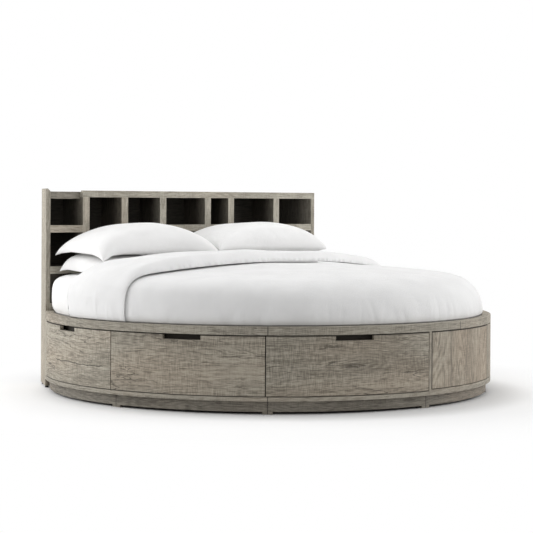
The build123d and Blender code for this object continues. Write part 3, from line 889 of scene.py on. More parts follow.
    def cotton(self, name: str, finish: ClothFinish) -> bpy.types.Material:
        """A white cotton material, with a painted shadow line where the cloth is tucked in at the rim, and
        painted shade in its hollows.

        Args:
            name: the material's name.
            finish: the cloth.

        Returns:
            The material.
        """
        if name in self.made:
            return self.made[name]
        graph, shader = self.start(name, roughness=0.85, specular=0.2)
        relief = graph.group(self.cloth, Wrinkle=finish.wrinkle, Weave=finish.weave)
        shadow = tuple(channel * self.cloth_shadow for channel in finish.colour)
        colour = graph.mix(relief["Shade"], shadow, finish.colour)
        # Painted shadow: the cloth darkens just above the rim, where it is tucked in
        full, gone = (RIM_TOP + height for height in self.tuck_line)
        tucked = graph.ease(graph.split(graph.place())[2], full, gone, self.tuck_shade, 0.0)
        graph.feed(shader.inputs["Base Color"], graph.mix(tucked, colour, self.tuck_shadow))
        graph.feed(shader.inputs["Normal"], relief["Normal"])
        shader.inputs["Sheen Weight"].default_value = 0.25
        shader.inputs["Sheen Roughness"].default_value = 0.4
        return self.made[name]

    def steel(self) -> bpy.types.Material:
        """Zinc-plated sheet steel with a fine brushed grain.

        Returns:
            The material.
        """
        if "zinc steel" not in self.made:
            graph, shader = self.start("zinc steel")
            spangle = graph.noise(graph.place(), Pattern.SPANGLE)
            colour = graph.mix(graph.ease(spangle, 0.3, 0.7), (0.45, 0.46, 0.48), (0.62, 0.63, 0.65))
            graph.feed(shader.inputs["Base Color"], colour)
            graph.feed(shader.inputs["Roughness"], graph.ease(spangle, 0.2, 0.8, 0.28, 0.42))
            shader.inputs["Metallic"].default_value = 1.0
        return self.made["zinc steel"]

    def plastic(self) -> bpy.types.Material:
        """Moulded black plastic with a light grain.

        Returns:
            The material.
        """
        if "glide plastic" not in self.made:
            graph, shader = self.start("glide plastic", roughness=0.55)
            speck = graph.noise(graph.place(), Pattern.SPECKS)
            graph.feed(shader.inputs["Base Color"], graph.mix(speck, (0.015,) * 3, (0.03,) * 3))
            graph.feed(shader.inputs["Normal"], graph.bump(speck, 0.0003))
        return self.made["glide plastic"]


# In these coats, SHADED_OAK, RECESS_SHADE, the inside boards, the seams and the gap shadows are painted shade
COATS: dict[str, Coat] = {
    "plinth_boards": Coat(SHADED_OAK, Grain.ARC, 1.0, seams=(-79.6, -40.5, 0.9, 42.0, 84.0)),
    "base_boards": Coat(OAK_EDGE, Grain.ARC, 2.0, seams=(-40.5, 42.0)),
    "bay_sides_a": Coat(CARCASS, Grain.ALONG_X, 3.0),
    "bay_sides_b": Coat(CARCASS, Grain.ALONG_X, 4.0),
    "bay_sides_c": Coat(CARCASS, Grain.ALONG_Y, 5.0),
    "bay_backs": Coat(CARCASS, Grain.ALONG_X, 6.0),
    "divider_boards": Coat(RECESS_SHADE, Grain.ALONG_Z, 7.0),
    "stile_boards": Coat(OAK_EDGE, Grain.ALONG_Z, 8.0),
    "end_fillers": Coat(OAK_PALE, Grain.ARC_UP, 9.0),
    "deck_rails": Coat(RECESS_SHADE, Grain.ARC, 10.0),
    "rim_segments": Coat(OAK_EDGE, Grain.ARC, 11.0, seams=(-40.5, 13.0)),
    "inset_panel_1": Coat(OAK_PANEL, Grain.ARC_UP, 0.6218, seams=(1.8,), gap_shadows=FRONT_EDGES),
    "inset_panel_2": Coat(OAK_PANEL, Grain.ARC_UP, 13.0),
    "inset_panel_3": Coat(OAK_PANEL, Grain.ARC_UP, 14.0),
    "inset_panel_4": Coat(OAK_PANEL, Grain.ARC_UP, 15.0),
    "panel_kerbs": Coat(OAK_EDGE, Grain.ARC, 16.0),
    "panel_battens": Coat(CARCASS, Grain.ALONG_Z, 17.0),
    "head_rail": Coat(CARCASS, Grain.ALONG_X, 18.0),
    "slats": Coat(PINE, Grain.ALONG_X, 19.0),
    "bearers": Coat(PINE, Grain.ALONG_Y, 20.0),
    "support_legs": Coat(PINE, Grain.ALONG_Z, 21.0),
    "drawer_a_front": Coat(
        OAK_PALE, Grain.ARC, 22.0, marks=(Mark(-106.0, -82.5, 0.198),), gap_shadows=FRONT_EDGES
    ),
    "drawer_b_front": Coat(
        OAK, Grain.ARC, 23.4, marks=(Mark(-79.6, -71.0, 0.172, True),), gap_shadows=FRONT_EDGES
    ),
    "drawer_c_front": Coat(OAK, Grain.ARC, 24.7, gap_shadows=FRONT_EDGES),
    "case_side_left": Coat(OAK_SIDE, Grain.ALONG_Z, 25.0, RECESS_SHADE, (-1.2, -0.8, 0.8), 0.1),
    "case_side_right": Coat(OAK_SIDE, Grain.ALONG_Z, 26.0, RECESS_SHADE, (1.2, -0.8, 0.8), 0.1),
    "case_top": Coat(OAK_CASE, Grain.ALONG_X, 27.0),
    "case_end_top": Coat(SHADED_OAK, Grain.ALONG_X, 28.0),
    "case_uprights": Coat(OAK_CASE, Grain.ALONG_Z, 29.0, RECESS_SHADE, fade=0.1),
    "case_upper_shelves": Coat(OAK_CASE, Grain.ALONG_X, 30.0, RECESS_SHADE),
    "case_middle_shelves": Coat(OAK_CASE, Grain.ALONG_X, 31.0, RECESS_SHADE),
    "case_bottom": Coat(OAK_CASE, Grain.ALONG_X, 32.0, RECESS_SHADE),
    "case_lower_panels": Coat(RECESS_SHADE, Grain.ALONG_X, 33.0),
    "case_back": Coat(RECESS_SHADE, Grain.ALONG_X, 34.0),
    "case_apron": Coat(CARCASS, Grain.ALONG_X, 35.0),
    "case_supports": Coat(CARCASS, Grain.ALONG_Z, 36.0),
    "drawer_a_sides": Coat(CARCASS, Grain.ALONG_X, 37.0),
    "drawer_a_back": Coat(CARCASS, Grain.ALONG_Y, 38.0),
    "drawer_a_bottom": Coat(CARCASS, Grain.ALONG_Y, 39.0),
    "drawer_b_sides": Coat(CARCASS, Grain.ALONG_X, 40.0),
    "drawer_b_back": Coat(CARCASS, Grain.ALONG_Y, 41.0),
    "drawer_b_bottom": Coat(CARCASS, Grain.ALONG_Y, 42.0),
    "drawer_c_sides": Coat(CARCASS, Grain.ALONG_Y, 43.0),
    "drawer_c_back": Coat(CARCASS, Grain.ALONG_X, 44.0),
    "drawer_c_bottom": Coat(CARCASS, Grain.ALONG_X, 45.0),
}
STEEL_NODES = (
    "cabinet_runners", "drawer_a_runners", "drawer_b_runners", "drawer_c_runners", "head_bolts", "head_nuts"
)
PLASTIC_NODES = ("case_glides",)


def find_node(tree: bpy.types.NodeTree, kind: str) -> bpy.types.Node:
    """The first node of a kind in a tree."""
    return next(node for node in tree.nodes if node.type == kind)


def paint(piece: bpy.types.Object, material: bpy.types.Material) -> None:
    """Gives a piece one material."""
    piece.data.materials.clear()
    piece.data.materials.append(material)


@dataclass(frozen=True)
class FrameDressing:
    """Materials for the CAD nodes that stay in view.

    Args:
        steel_nodes: names of the zinc-plated nodes.
        plastic_nodes: names of the plastic nodes.
    """

    steel_nodes: tuple[str, ...] = STEEL_NODES
    plastic_nodes: tuple[str, ...] = PLASTIC_NODES

    def dress(self, nodes: dict[str, bpy.types.Object], palette: Palette) -> None:
        """Gives every carried-over CAD node its procedural material.

        Args:
            nodes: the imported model's nodes by name.
            palette: makes the materials.
        """
        for name, coat in COATS.items():
            paint(nodes[name], palette.wood(f"wood {name}", coat))
        for name in self.steel_nodes:
            paint(nodes[name], palette.steel())
        for name in self.plastic_nodes:
            paint(nodes[name], palette.plastic())
        log.info("dressed %d CAD nodes", len(COATS) + len(self.steel_nodes) + len(self.plastic_nodes))


def smooth(value: float, low: float, high: float) -> float:
    """A smooth step from 0 at low to 1 at high."""
    share = min(max((value - low) / (high - low), 0.0), 1.0)
    return share * share * (3 - 2 * share)


def rounded(distance: float, width: float) -> float:
    """How much of a layer's thickness is left at a distance from its border."""
    share = min(max(distance / width, 0.0), 1.0)
    return math.sqrt(1 - (1 - share) ** 2)


def ripple(x: float, y: float, scale: float, seed: float) -> float:
    """Smooth noise over the flat disc, from -1 to 1."""
    return noise.noise(Vector((x * scale, y * scale, seed)))


def pulls(angle: float, share: float, scale: Point, seed: float) -> float:
    """Smooth noise round a side (first scale) and down it (second scale), from -1 to 1."""
    return noise.noise(Vector((angle * scale[0], seed, share * scale[1])))


def between(first: Point, second: Point, share: float) -> Point:
    """The point at a share of the way from one point to another."""
    return (first[0] + (second[0] - first[0]) * share, first[1] + (second[1] - first[1]) * share)


def round_place(radius: float, angle: float, height: float) -> Vector:
    """A place in the row frame from its distance to the circle's centre and its angle from the foot."""
    return Vector((radius * math.sin(angle), CENTRE_Y - radius * math.cos(angle), height))


class Profile:
    """A smooth line from a bedding layer's middle to its foot, as radius and height.

    Attributes:
        steps: points for each part between two outline points.
    """

    steps: int = 12

    def __init__(self, points: tuple[Point, ...]) -> None:
        """Draws the line and measures it.

        Args:
            points: the places that it runs through, metres.
        """
        self.points = []
        for index in range(len(points) - 1):
            before = points[max(index - 1, 0)]
            after = points[min(index + 2, len(points) - 1)]
            for step in range(self.steps):
                share = step / self.steps
                self.points.append(self.curve(before, points[index], points[index + 1], after, share))
        self.points.append(points[-1])
        self.marks = [0.0]
        for first, second in zip(self.points[:-1], self.points[1:]):
            self.marks.append(self.marks[-1] + math.dist(first, second))
        self.length = self.marks[-1]

    @staticmethod
    def curve(before: Point, first: Point, second: Point, after: Point, share: float) -> Point:
        """A Catmull-Rom point between two outline points.

        Args:
            before: the outline point before the two.
            first: the nearer of the two.
            second: the further of the two.
            after: the outline point after them.
            share: how far it lies from the first towards the second.

        Returns:
            The point.
        """
        place = []
        for a, b, c, d in zip(before, first, second, after):
            square_part = (2 * a - 5 * b + 4 * c - d) * share**2
            cube_part = (3 * b - a - 3 * c + d) * share**3
            place.append(0.5 * (2 * b + (c - a) * share + square_part + cube_part))
        return tuple(place)

    def at(self, share: float) -> Point:
        """The point at a share of the line's length.

        Args:
            share: 0 at the middle of the bed, 1 at the layer's foot.

        Returns:
            Its radius and height.
        """
        wanted = min(max(share, 0.0), 1.0) * self.length
        index = min(bisect.bisect_right(self.marks, wanted), len(self.marks) - 1)
        low = index - 1
        part = (wanted - self.marks[low]) / max(self.marks[index] - self.marks[low], 1e-9)
        return between(self.points[low], self.points[index], part)


@dataclass(frozen=True)
class Dome:
    """A bedding surface that blends from one profile to another round the bed.

    Args:
        full: the profile where the weight is 1.
        soft: the profile where the weight is 0.
        weight: how much of the full profile there is at an angle and a share of the way out.
        step: how far to each side its slope is taken, as a share of the way out.
    """

    full: Profile
    soft: Profile
    weight: Callable[[float, float], float]
    step: float = 0.01

    def section(self, angle: float, share: float) -> Point:
        """Radius and height at an angle from the foot and a share of the way out."""
        return between(self.soft.at(share), self.full.at(share), self.weight(angle, share))

    def place(self, x: float, y: float, lift: float) -> Vector:
        """A point of the unit disc, moved onto the surface and out from it by a lift.

        Args:
            x: place on the flat disc, 1 at the foot of the bedding's side.
            y: the same, positive towards the bookcase.
            lift: distance from the surface, metres.

        Returns:
            The point in the row frame.
        """
        share = min(math.hypot(x, y), 1.0)
        angle = math.atan2(x, -y)
        radius, height = self.section(angle, share)
        inner = self.section(angle, max(share - self.step, 0.0))
        outer = self.section(angle, min(share + self.step, 1.0))
        run, rise = outer[0] - inner[0], outer[1] - inner[1]
        length = math.hypot(run, rise) or 1.0
        out, up = (-rise / length, run / length) if share > self.step else (0.0, 1.0)
        return round_place(radius + out * lift, angle, height + up * lift)


def head_weight(angle: float, share: float) -> float:
    """1 beside the bookcase, 0 round the foot of the bed."""
    return smooth(-math.cos(angle) * share, *HEAD_BLEND)


def left_weight(angle: float, _share: float) -> float:
    """1 on the left of the bed, 0 on its right."""
    return 1 - smooth(math.degrees(angle), *LEFT_BLEND)


@dataclass(frozen=True)
class Border:
    """A straight border on the flat disc: the cloth lies on the side that the normal points away from.

    Args:
        through: a point of the border.
        normal: which way it faces, of any length.
        round_width: over what distance the cloth gets its full thickness.
    """

    through: Point
    normal: Point
    round_width: float

    def keep(self, x: float, y: float) -> float:
        """The share of the thickness that is left at a place on the disc."""
        return rounded(self.distance(x, y), self.round_width)

    def distance(self, x: float, y: float) -> float:
        """Distance inside the border."""
        length = math.hypot(*self.normal)
        return -((x - self.through[0]) * self.normal[0] + (y - self.through[1]) * self.normal[1]) / length


def cut_away(cloth: bmesh.types.BMesh, place: Triple, normal: Triple) -> list[bmesh.types.BMEdge]:
    """Cuts a cloth by a plane and takes away the side that the normal points to.

    Args:
        cloth: what is cut.
        place: a point of the plane.
        normal: the plane's normal.

    Returns:
        The edges along the cut.
    """
    parts = cloth.verts[:] + cloth.edges[:] + cloth.faces[:]
    cut = bmesh.ops.bisect_plane(
        cloth, geom=parts, dist=WELD, clear_outer=True, plane_co=place, plane_no=normal
    )
    return [part for part in cut["geom_cut"] if isinstance(part, bmesh.types.BMEdge)]


def thicken(cloth: bmesh.types.BMesh) -> None:
    """Makes a flat sheet a closed slab that reaches from height 0 to height 1.

    Args:
        cloth: the sheet.
    """
    raised = bmesh.ops.extrude_face_region(cloth, geom=cloth.faces[:], use_keep_orig=True)
    tops = [part for part in raised["geom"] if isinstance(part, bmesh.types.BMVert)]
    bmesh.ops.translate(cloth, verts=tops, vec=(0.0, 0.0, 1.0))


def new_piece(name: str, built: bmesh.types.BMesh) -> bpy.types.Object:
    """Turns a bmesh into a smooth-shaded piece at the origin.

    Args:
        name: the piece's name.
        built: its form, which is freed.

    Returns:
        The piece.
    """
    mesh = bpy.data.meshes.new(name)
    for face in built.faces:
        face.smooth = True
    built.to_mesh(mesh)
    built.free()
    piece = bpy.data.objects.new(name, mesh)
    bpy.context.scene.collection.objects.link(piece)
    return piece


def apply_modifiers(piece: bpy.types.Object) -> None:
    """Replaces a piece's mesh with its evaluated form.

    Args:
        piece: the piece.
    """
    graph = bpy.context.evaluated_depsgraph_get()
    mesh = bpy.data.meshes.new_from_object(piece.evaluated_get(graph))
    old = piece.data
    piece.modifiers.clear()
    piece.data = mesh
    bpy.data.meshes.remove(old)


def finish_soft(
    piece: bpy.types.Object, material: bpy.types.Material, node: str
) -> bpy.types.Object:
    """Paints a soft piece, fixes it to the bed and says which CAD node it stands for.

    Args:
        piece: the piece.
        material: its cloth.
        node: the CAD node.

    Returns:
        The piece.
    """
    paint(piece, material)
    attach(piece, BODY)
    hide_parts(node)
    log.info("%s stands for %s", piece.name, node)
    return piece


@dataclass(frozen=True)
class BeddingLayer:
    """A padded layer over the round bed, between an inner and an outer surface.

    Args:
        name: the piece's name.
        node: the CAD node that it stands for.
        slot: the record's material slot.
        finish: its cloth.
        fill: how tightly it is stuffed; not used.
        cells: quads along each side of the flat grid that it starts from.
    """

    name: str
    node: str
    slot: str
    finish: ClothFinish
    fill: float
    cells: int

    def borders(self) -> tuple[Border, ...]:
        """Where the flat disc is cut."""
        return ()

    def outer(self, x: float, y: float) -> Vector:
        """A point of the outer surface over a place on the flat disc."""
        raise NotImplementedError

    def inner(self, x: float, y: float) -> Vector:
        """A point of the inner surface over a place on the flat disc."""
        raise NotImplementedError

    def trim(self, cloth: bmesh.types.BMesh) -> None:
        """Cuts the shaped layer where something stands against it."""

    def flat_slab(self) -> bmesh.types.BMesh:
        """A closed slab over the unit disc, cut at the borders.

        Returns:
            The slab.
        """
        cloth = bmesh.new()
        bmesh.ops.create_grid(cloth, x_segments=self.cells, y_segments=self.cells, size=1.0)
        for vert in cloth.verts:
            x, y = vert.co.x, vert.co.y
            vert.co.xy = (x * math.sqrt(max(1 - y * y / 2, 0.0)), y * math.sqrt(max(1 - x * x / 2, 0.0)))
        for border in self.borders():
            cut_away(cloth, (*border.through, 0.0), (*border.normal, 0.0))
        thicken(cloth)
        return cloth

    def build(self, palette: Palette) -> bpy.types.Object:
        """Shapes the layer and dresses it.

        Args:
            palette: makes its material.

        Returns:
            The piece.
        """
        cloth = self.flat_slab()
        for vert in cloth.verts:
            x, y = vert.co.x, vert.co.y
            vert.co = self.outer(x, y) if vert.co.z > 0.5 else self.inner(x, y)
        self.trim(cloth)
        bmesh.ops.remove_doubles(cloth, verts=cloth.verts, dist=SEAM_WELD)
        bmesh.ops.recalc_face_normals(cloth, faces=cloth.faces)
        material = palette.cotton(f"{self.slot} cloth", self.finish)
        return finish_soft(new_piece(self.name, cloth), material, self.node)


MATTRESS = Dome(
    Profile((
        (0.0, 0.628), (0.45, 0.628), (0.9, 0.626), (1.06, 0.622), (1.13, 0.612), (1.165, 0.594),
        (1.181, 0.56), (1.184, 0.5), (1.18, 0.45), (1.168, 0.424), (1.166, 0.384),
    )),
    Profile((
        (0.0, 0.62), (0.45, 0.62), (0.88, 0.614), (0.99, 0.606), (1.06, 0.588), (1.105, 0.56),
        (1.132, 0.525), (1.148, 0.48), (1.153, 0.44), (1.154, 0.424), (1.152, 0.384),
    )),
    head_weight,
)
MATTRESS_BASE = Profile(((0.0, SLAT_TOP), (0.4, SLAT_TOP), (0.8, SLAT_TOP), (1.15, SLAT_TOP)))
DUVET_TOP = Dome(
    Profile((
        (0.0, 0.69), (0.4, 0.683), (0.7, 0.671), (0.95, 0.656), (1.06, 0.645), (1.13, 0.625),
        (1.172, 0.592), (1.189, 0.545), (1.192, 0.49), (1.19, 0.45), (1.181, 0.4255),
    )),
    Profile((
        (0.0, 0.69), (0.4, 0.681), (0.7, 0.665), (0.946, 0.642), (1.033, 0.627), (1.093, 0.602),
        (1.136, 0.5635), (1.158, 0.525), (1.17, 0.487), (1.1755, 0.449), (1.172, 0.4255),
    )),
    left_weight,
)
BAND_TOP = Dome(
    Profile((
        (0.0, 0.756), (0.4, 0.752), (0.7, 0.742), (0.93, 0.719), (1.05, 0.692), (1.13, 0.657),
        (1.18, 0.608), (1.2, 0.55), (1.203, 0.49), (1.2, 0.45), (1.193, 0.4255),
    )),
    Profile((
        (0.0, 0.752), (0.4, 0.744), (0.7, 0.726), (0.93, 0.698), (1.03, 0.678), (1.1, 0.645),
        (1.15, 0.6), (1.178, 0.55), (1.19, 0.5), (1.193, 0.455), (1.188, 0.4255),
    )),
    left_weight,
)


@dataclass(frozen=True)
class Mattress(BeddingLayer):
    """The round mattress in its fitted sheet, flat against the bookcase.

    Args:
        head_room: the gap to the bookcase, metres.
        pull: depth of the pulls down its side, metres.
        pull_scale: how close they are, round the side and down it.
        side: the shares of the way out where the pulls set in, from and to.
        side_end: the shares where they fade out.
        dent: depth of the dents on top, metres.
        dent_scale: how close the dents are.
        dent_end: the shares where the dents fade out.
        seeds: pick its pulls and its dents.
    """

    head_room: float = 0.004
    pull: float = 0.0035
    pull_scale: Point = (9.0, 4.0)
    side: Point = (0.8, 0.86)
    side_end: Point = (0.94, 0.97)
    dent: float = 0.003
    dent_scale: float = 2.4
    dent_end: Point = (0.8, 0.9)
    seeds: Point = (0.3, 4.1)

    def outer(self, x: float, y: float) -> Vector:
        """The sheet, drawn in a little down the side.

        Args:
            x: place on the flat disc.
            y: the same, positive towards the bookcase.

        Returns:
            The point in the row frame.
        """
        share = math.hypot(x, y)
        angle = math.atan2(x, -y)
        side = smooth(share, *self.side) * (1 - smooth(share, *self.side_end))
        place = Vector((angle * self.pull_scale[0], share * self.pull_scale[1], self.seeds[0]))
        lift = noise.noise(place) * self.pull * side
        lift += ripple(x, y, self.dent_scale, self.seeds[1]) * self.dent * (1 - smooth(share, *self.dent_end))
        return MATTRESS.place(x, y, lift)

    def inner(self, x: float, y: float) -> Vector:
        """The flat underside on the slats."""
        radius, height = MATTRESS_BASE.at(math.hypot(x, y))
        return round_place(radius, math.atan2(x, -y), height)

    def trim(self, cloth: bmesh.types.BMesh) -> None:
        """Cuts the mattress flat in front of the bookcase."""
        edges = cut_away(cloth, (0.0, CENTRE_Y + CASE_FRONT - self.head_room, 0.0), (0.0, 1.0, 0.0))
        bmesh.ops.triangle_fill(cloth, edges=edges, use_beauty=True)


@dataclass(frozen=True)
class Duvet(BeddingLayer):
    """The duvet, tucked in along the rim and rounded where it turns back.

    Args:
        lie: the gap to the mattress, metres.
        swell: height of the swells of its top, metres.
        swell_scales: how close the wide and the narrow swells are.
        narrow_share: how high the narrow swells are beside the wide ones.
        tuck: depth of the pulls above the rim, metres.
        fold_scale: how close the pulls are, round the side and down it.
        pinch_scale: how close the pinches between them are.
        pinch_width: how wide the pinches are.
        pinch_share: how much a pinch stands out beside a pull.
        rear_width: over what distance its rear edge is rounded, on the flat disc.
        seeds: pick its wide and narrow swells, its pulls and its pinches.
    """

    lie: float = 0.0025
    swell: float = 0.006
    swell_scales: Point = (1.9, 4.8)
    narrow_share: float = 0.4
    tuck: float = 0.011
    fold_scale: Point = (7.0, 2.0)
    pinch_scale: Point = (15.0, 3.0)
    pinch_width: float = 0.2
    pinch_share: float = 0.25
    rear_width: float = 0.03
    seeds: tuple[float, float, float, float] = (7.0, 2.0, 0.4, 3.3)

    def borders(self) -> tuple[Border, ...]:
        """The rear edge under the turned-back band."""
        return (Border((0.0, FOLD_REAR / DUVET_TOP.soft.length), (0.0, 1.0), self.rear_width),)

    def inner(self, x: float, y: float) -> Vector:
        """Just over the mattress."""
        return MATTRESS.place(x, y, self.lie)

    def outer(self, x: float, y: float) -> Vector:
        """The filled top, with pulls where its side is tucked in.

        Args:
            x: place on the flat disc.
            y: the same, positive towards the bookcase.

        Returns:
            The point in the row frame.
        """
        share = math.hypot(x, y)
        angle = math.atan2(x, -y)
        hem = smooth(share, *TUCKED)
        wide, narrow = self.swell_scales
        wide_seed, narrow_seed, fold_seed, pinch_seed = self.seeds
        swell = ripple(x, y, wide, wide_seed) + self.narrow_share * ripple(x, y, narrow, narrow_seed)
        lift = swell * self.swell * (1 - CALM * hem)
        fold = abs(pulls(angle, share, self.fold_scale, fold_seed))
        pinch = smooth(abs(pulls(angle, share, self.pinch_scale, pinch_seed)), 0.0, self.pinch_width)
        lift -= hem * self.tuck * (fold - self.pinch_share * pinch)
        return self.inner(x, y).lerp(DUVET_TOP.place(x, y, lift), self.borders()[0].keep(x, y))


@dataclass(frozen=True)
class FoldBand(BeddingLayer):
    """The duvet's turned-back band, which hangs to the rim on the left.

    Args:
        lie: the gap to the duvet, metres.
        swell: height of the swells of its top, metres.
        swell_scales: how close the wide and the narrow swells are.
        narrow_share: how high the narrow swells are beside the wide ones.
        tuck: depth of the pulls above the rim, metres.
        fold_scale: how close the pulls are, round the side and down it.
        rear_width: over what distance its fold is rounded, on the flat disc.
        hem_width: the same for its hem.
        taper: over what distance it gets thinner to the rear on the left.
        taper_from: the places towards -X between which that sets in.
        seeds: pick its wide and narrow swells and its pulls.
    """

    lie: float = 0.009
    swell: float = 0.008
    swell_scales: Point = (3.4, 8.0)
    narrow_share: float = 0.35
    tuck: float = 0.012
    fold_scale: Point = (14.0, 3.0)
    rear_width: float = 0.045
    hem_width: float = 0.042
    taper: float = 0.24
    taper_from: Point = (0.74, 0.9)
    seeds: Triple = (11.0, 5.0, 1.7)

    def borders(self) -> tuple[Border, ...]:
        """The fold at the pillows and the hem towards the foot.

        Returns:
            The two borders.
        """
        size = BAND_TOP.full.length
        return (
            Border((0.0, FOLD_REAR / size), (0.0, 1.0), self.rear_width),
            Border((0.0, HEM_MIDDLE / size), (HEM_SLOPE, -1.0), self.hem_width),
        )

    def inner(self, x: float, y: float) -> Vector:
        """Just over the duvet."""
        return DUVET_TOP.place(x, y, self.lie)

    def outer(self, x: float, y: float) -> Vector:
        """The loose top of the band, with pulls where its side is tucked in.

        Args:
            x: place on the flat disc.
            y: the same, positive towards the bookcase.

        Returns:
            The point in the row frame.
        """
        share = math.hypot(x, y)
        tucked = smooth(share, *TUCKED)
        wide, narrow = self.swell_scales
        wide_seed, narrow_seed, fold_seed = self.seeds
        swell = ripple(x, y, wide, wide_seed) + self.narrow_share * ripple(x, y, narrow, narrow_seed)
        lift = swell * self.swell * (1 - CALM * tucked)
        lift -= tucked * self.tuck * abs(pulls(math.atan2(x, -y), share, self.fold_scale, fold_seed))
        rear, hem = self.borders()
        blend = smooth(-x, *self.taper_from)
        taper = smooth(rear.distance(x, y), 0.0, self.taper)
        keep = min(rear.keep(x, y) * (1 - blend) + taper * blend, hem.keep(x, y))
        return self.inner(x, y).lerp(BAND_TOP.place(x, y, lift), keep)


@dataclass(frozen=True)
class Pillow:
    """One pillow, laid flat against the bookcase.

    Args:
        node: the CAD node that it stands for.
        middle: its middle from the circle's centre.
        half: half its length along X and half its depth along Y.
        seam: height of its seam line.
        rise: how far its crown stands above the seam.
        sag: how far its underside hangs below the seam.
        press: how thick the upper and the lower half may get where something presses on them.
        droop: how far its ends hang down.
        ear: how far its corner tips hang below the ends.
        lean: how much lower its front edge lies than its rear edge.
        square: how far out it stays thick, along X and along Y.
        fullness: how bluntly its panels meet at the seam, less for blunter.
        pinch: how far its ends and its long edges are drawn in between the corners, as shares.
        seed: picks its dents.
        skew: how far its crown lies from its middle towards +X, as a share of the half length.
        finish: its cloth.
        slot: the record's material slot.
        fill: how tightly it is stuffed; not used.
        cells: quads along each side of each panel.
        corner: how sharply the drawn-in edges turn out to the corners.
        dent: depth of its dents, metres.
        dent_scale: how close the dents are, along X and along Y.
        pressure: pressure that fills it in the simulation.
        stiffness: how hard its cloth is to stretch or to press together.
        bending: how hard its cloth is to bend.
        cap: how far the filling may move a point, metres.
        frames: length of the simulation.
    """

    node: str
    middle: Point
    half: Point
    seam: float
    rise: float
    sag: float
    press: Point
    droop: float
    ear: float
    lean: float
    square: Point
    fullness: float
    pinch: Point
    seed: float
    skew: float = 0.0
    finish: ClothFinish = SHEET
    slot: str = "sheet_cotton"
    fill: float = 0.7
    cells: int = 80
    corner: float = 2.2
    dent: float = 0.009
    dent_scale: Point = (1.6, 1.3)
    pressure: float = 4.0
    stiffness: float = 12.0
    bending: float = 0.3
    cap: float = 0.008
    frames: int = 16

    def point(self, u: float, v: float, direction: int) -> Vector:
        """A point of the upper or lower panel.

        Args:
            u: share of the half length, from -1 to 1.
            v: share of the half depth, from -1 to 1.
            direction: 1 for the upper panel, -1 for the lower one.

        Returns:
            The point in the row frame.
        """
        x = self.half[0] * u * (1 - self.pinch[0] * (1 - abs(v) ** self.corner))
        y = self.half[1] * v * (1 - self.pinch[1] * (1 - abs(u) ** self.corner))
        crown = abs(u - self.skew * (1 - u * u))
        body = max((1 - crown ** self.square[0]) * (1 - abs(v) ** self.square[1]), 0.0) ** self.fullness
        place = Vector((u * self.dent_scale[0] + self.seed, v * self.dent_scale[1], self.seed))
        dent = noise.noise(place) * self.dent
        reach, limit = (self.rise, self.press[0]) if direction == 1 else (self.sag, self.press[1])
        height = direction * limit * math.tanh(reach * body / limit)
        hang = self.droop * abs(u) ** 3 + self.ear * abs(u * v) ** 6
        z = self.seam + height + dent * body - hang + self.lean * (v - 1) / 2
        return Vector((self.middle[0] + x, CENTRE_Y + self.middle[1] + y, z))

    def cover(self) -> bpy.types.Object:
        """The unfilled cover: two crowned panels that meet at a pointed seam.

        Returns:
            The cover.
        """
        built = bmesh.new()
        bmesh.ops.create_grid(built, x_segments=self.cells, y_segments=self.cells, size=1.0)
        thicken(built)
        for vert in built.verts:
            vert.co = self.point(vert.co.x, vert.co.y, 1 if vert.co.z > 0.5 else -1)
        bmesh.ops.remove_doubles(built, verts=built.verts, dist=WELD)
        bmesh.ops.recalc_face_normals(built, faces=built.faces)
        return new_piece(f"{self.node}_cover", built)

    def simulate(self, piece: bpy.types.Object) -> None:
        """Blows the cover up by cloth simulation.

        Args:
            piece: the cover.
        """
        settings = piece.modifiers.new("filling", "CLOTH").settings
        settings.use_pressure = True
        settings.uniform_pressure_force = self.pressure
        settings.tension_stiffness = self.stiffness
        settings.compression_stiffness = self.stiffness
        settings.bending_stiffness = self.bending
        settings.effector_weights.gravity = 0.0
        for step in range(1, self.frames + 1):
            bpy.context.scene.frame_set(step)
        apply_modifiers(piece)
        bpy.context.scene.frame_set(1)

    def fill_up(self, piece: bpy.types.Object) -> None:
        """Fills the cover, and keeps every point near where it started.

        Args:
            piece: the cover.
        """
        start = [vert.co.copy() for vert in piece.data.vertices]
        self.simulate(piece)
        for vert, before in zip(piece.data.vertices, start):
            move = vert.co - before
            if move.length > self.cap:
                vert.co = before + move * (self.cap / move.length)

    def build(self, palette: Palette) -> bpy.types.Object:
        """Shapes, fills and dresses the pillow.

        Args:
            palette: makes its material.

        Returns:
            The piece.
        """
        piece = self.cover()
        self.fill_up(piece)
        relax = piece.modifiers.new("relax", "SMOOTH")
        relax.factor, relax.iterations = 0.5, 1
        finer = piece.modifiers.new("finer", "SUBSURF")
        finer.levels = finer.render_levels = 1
        apply_modifiers(piece)
        for polygon in piece.data.polygons:
            polygon.use_smooth = True
        material = palette.cotton(f"{self.slot} cloth", self.finish)
        return finish_soft(piece, material, self.node)


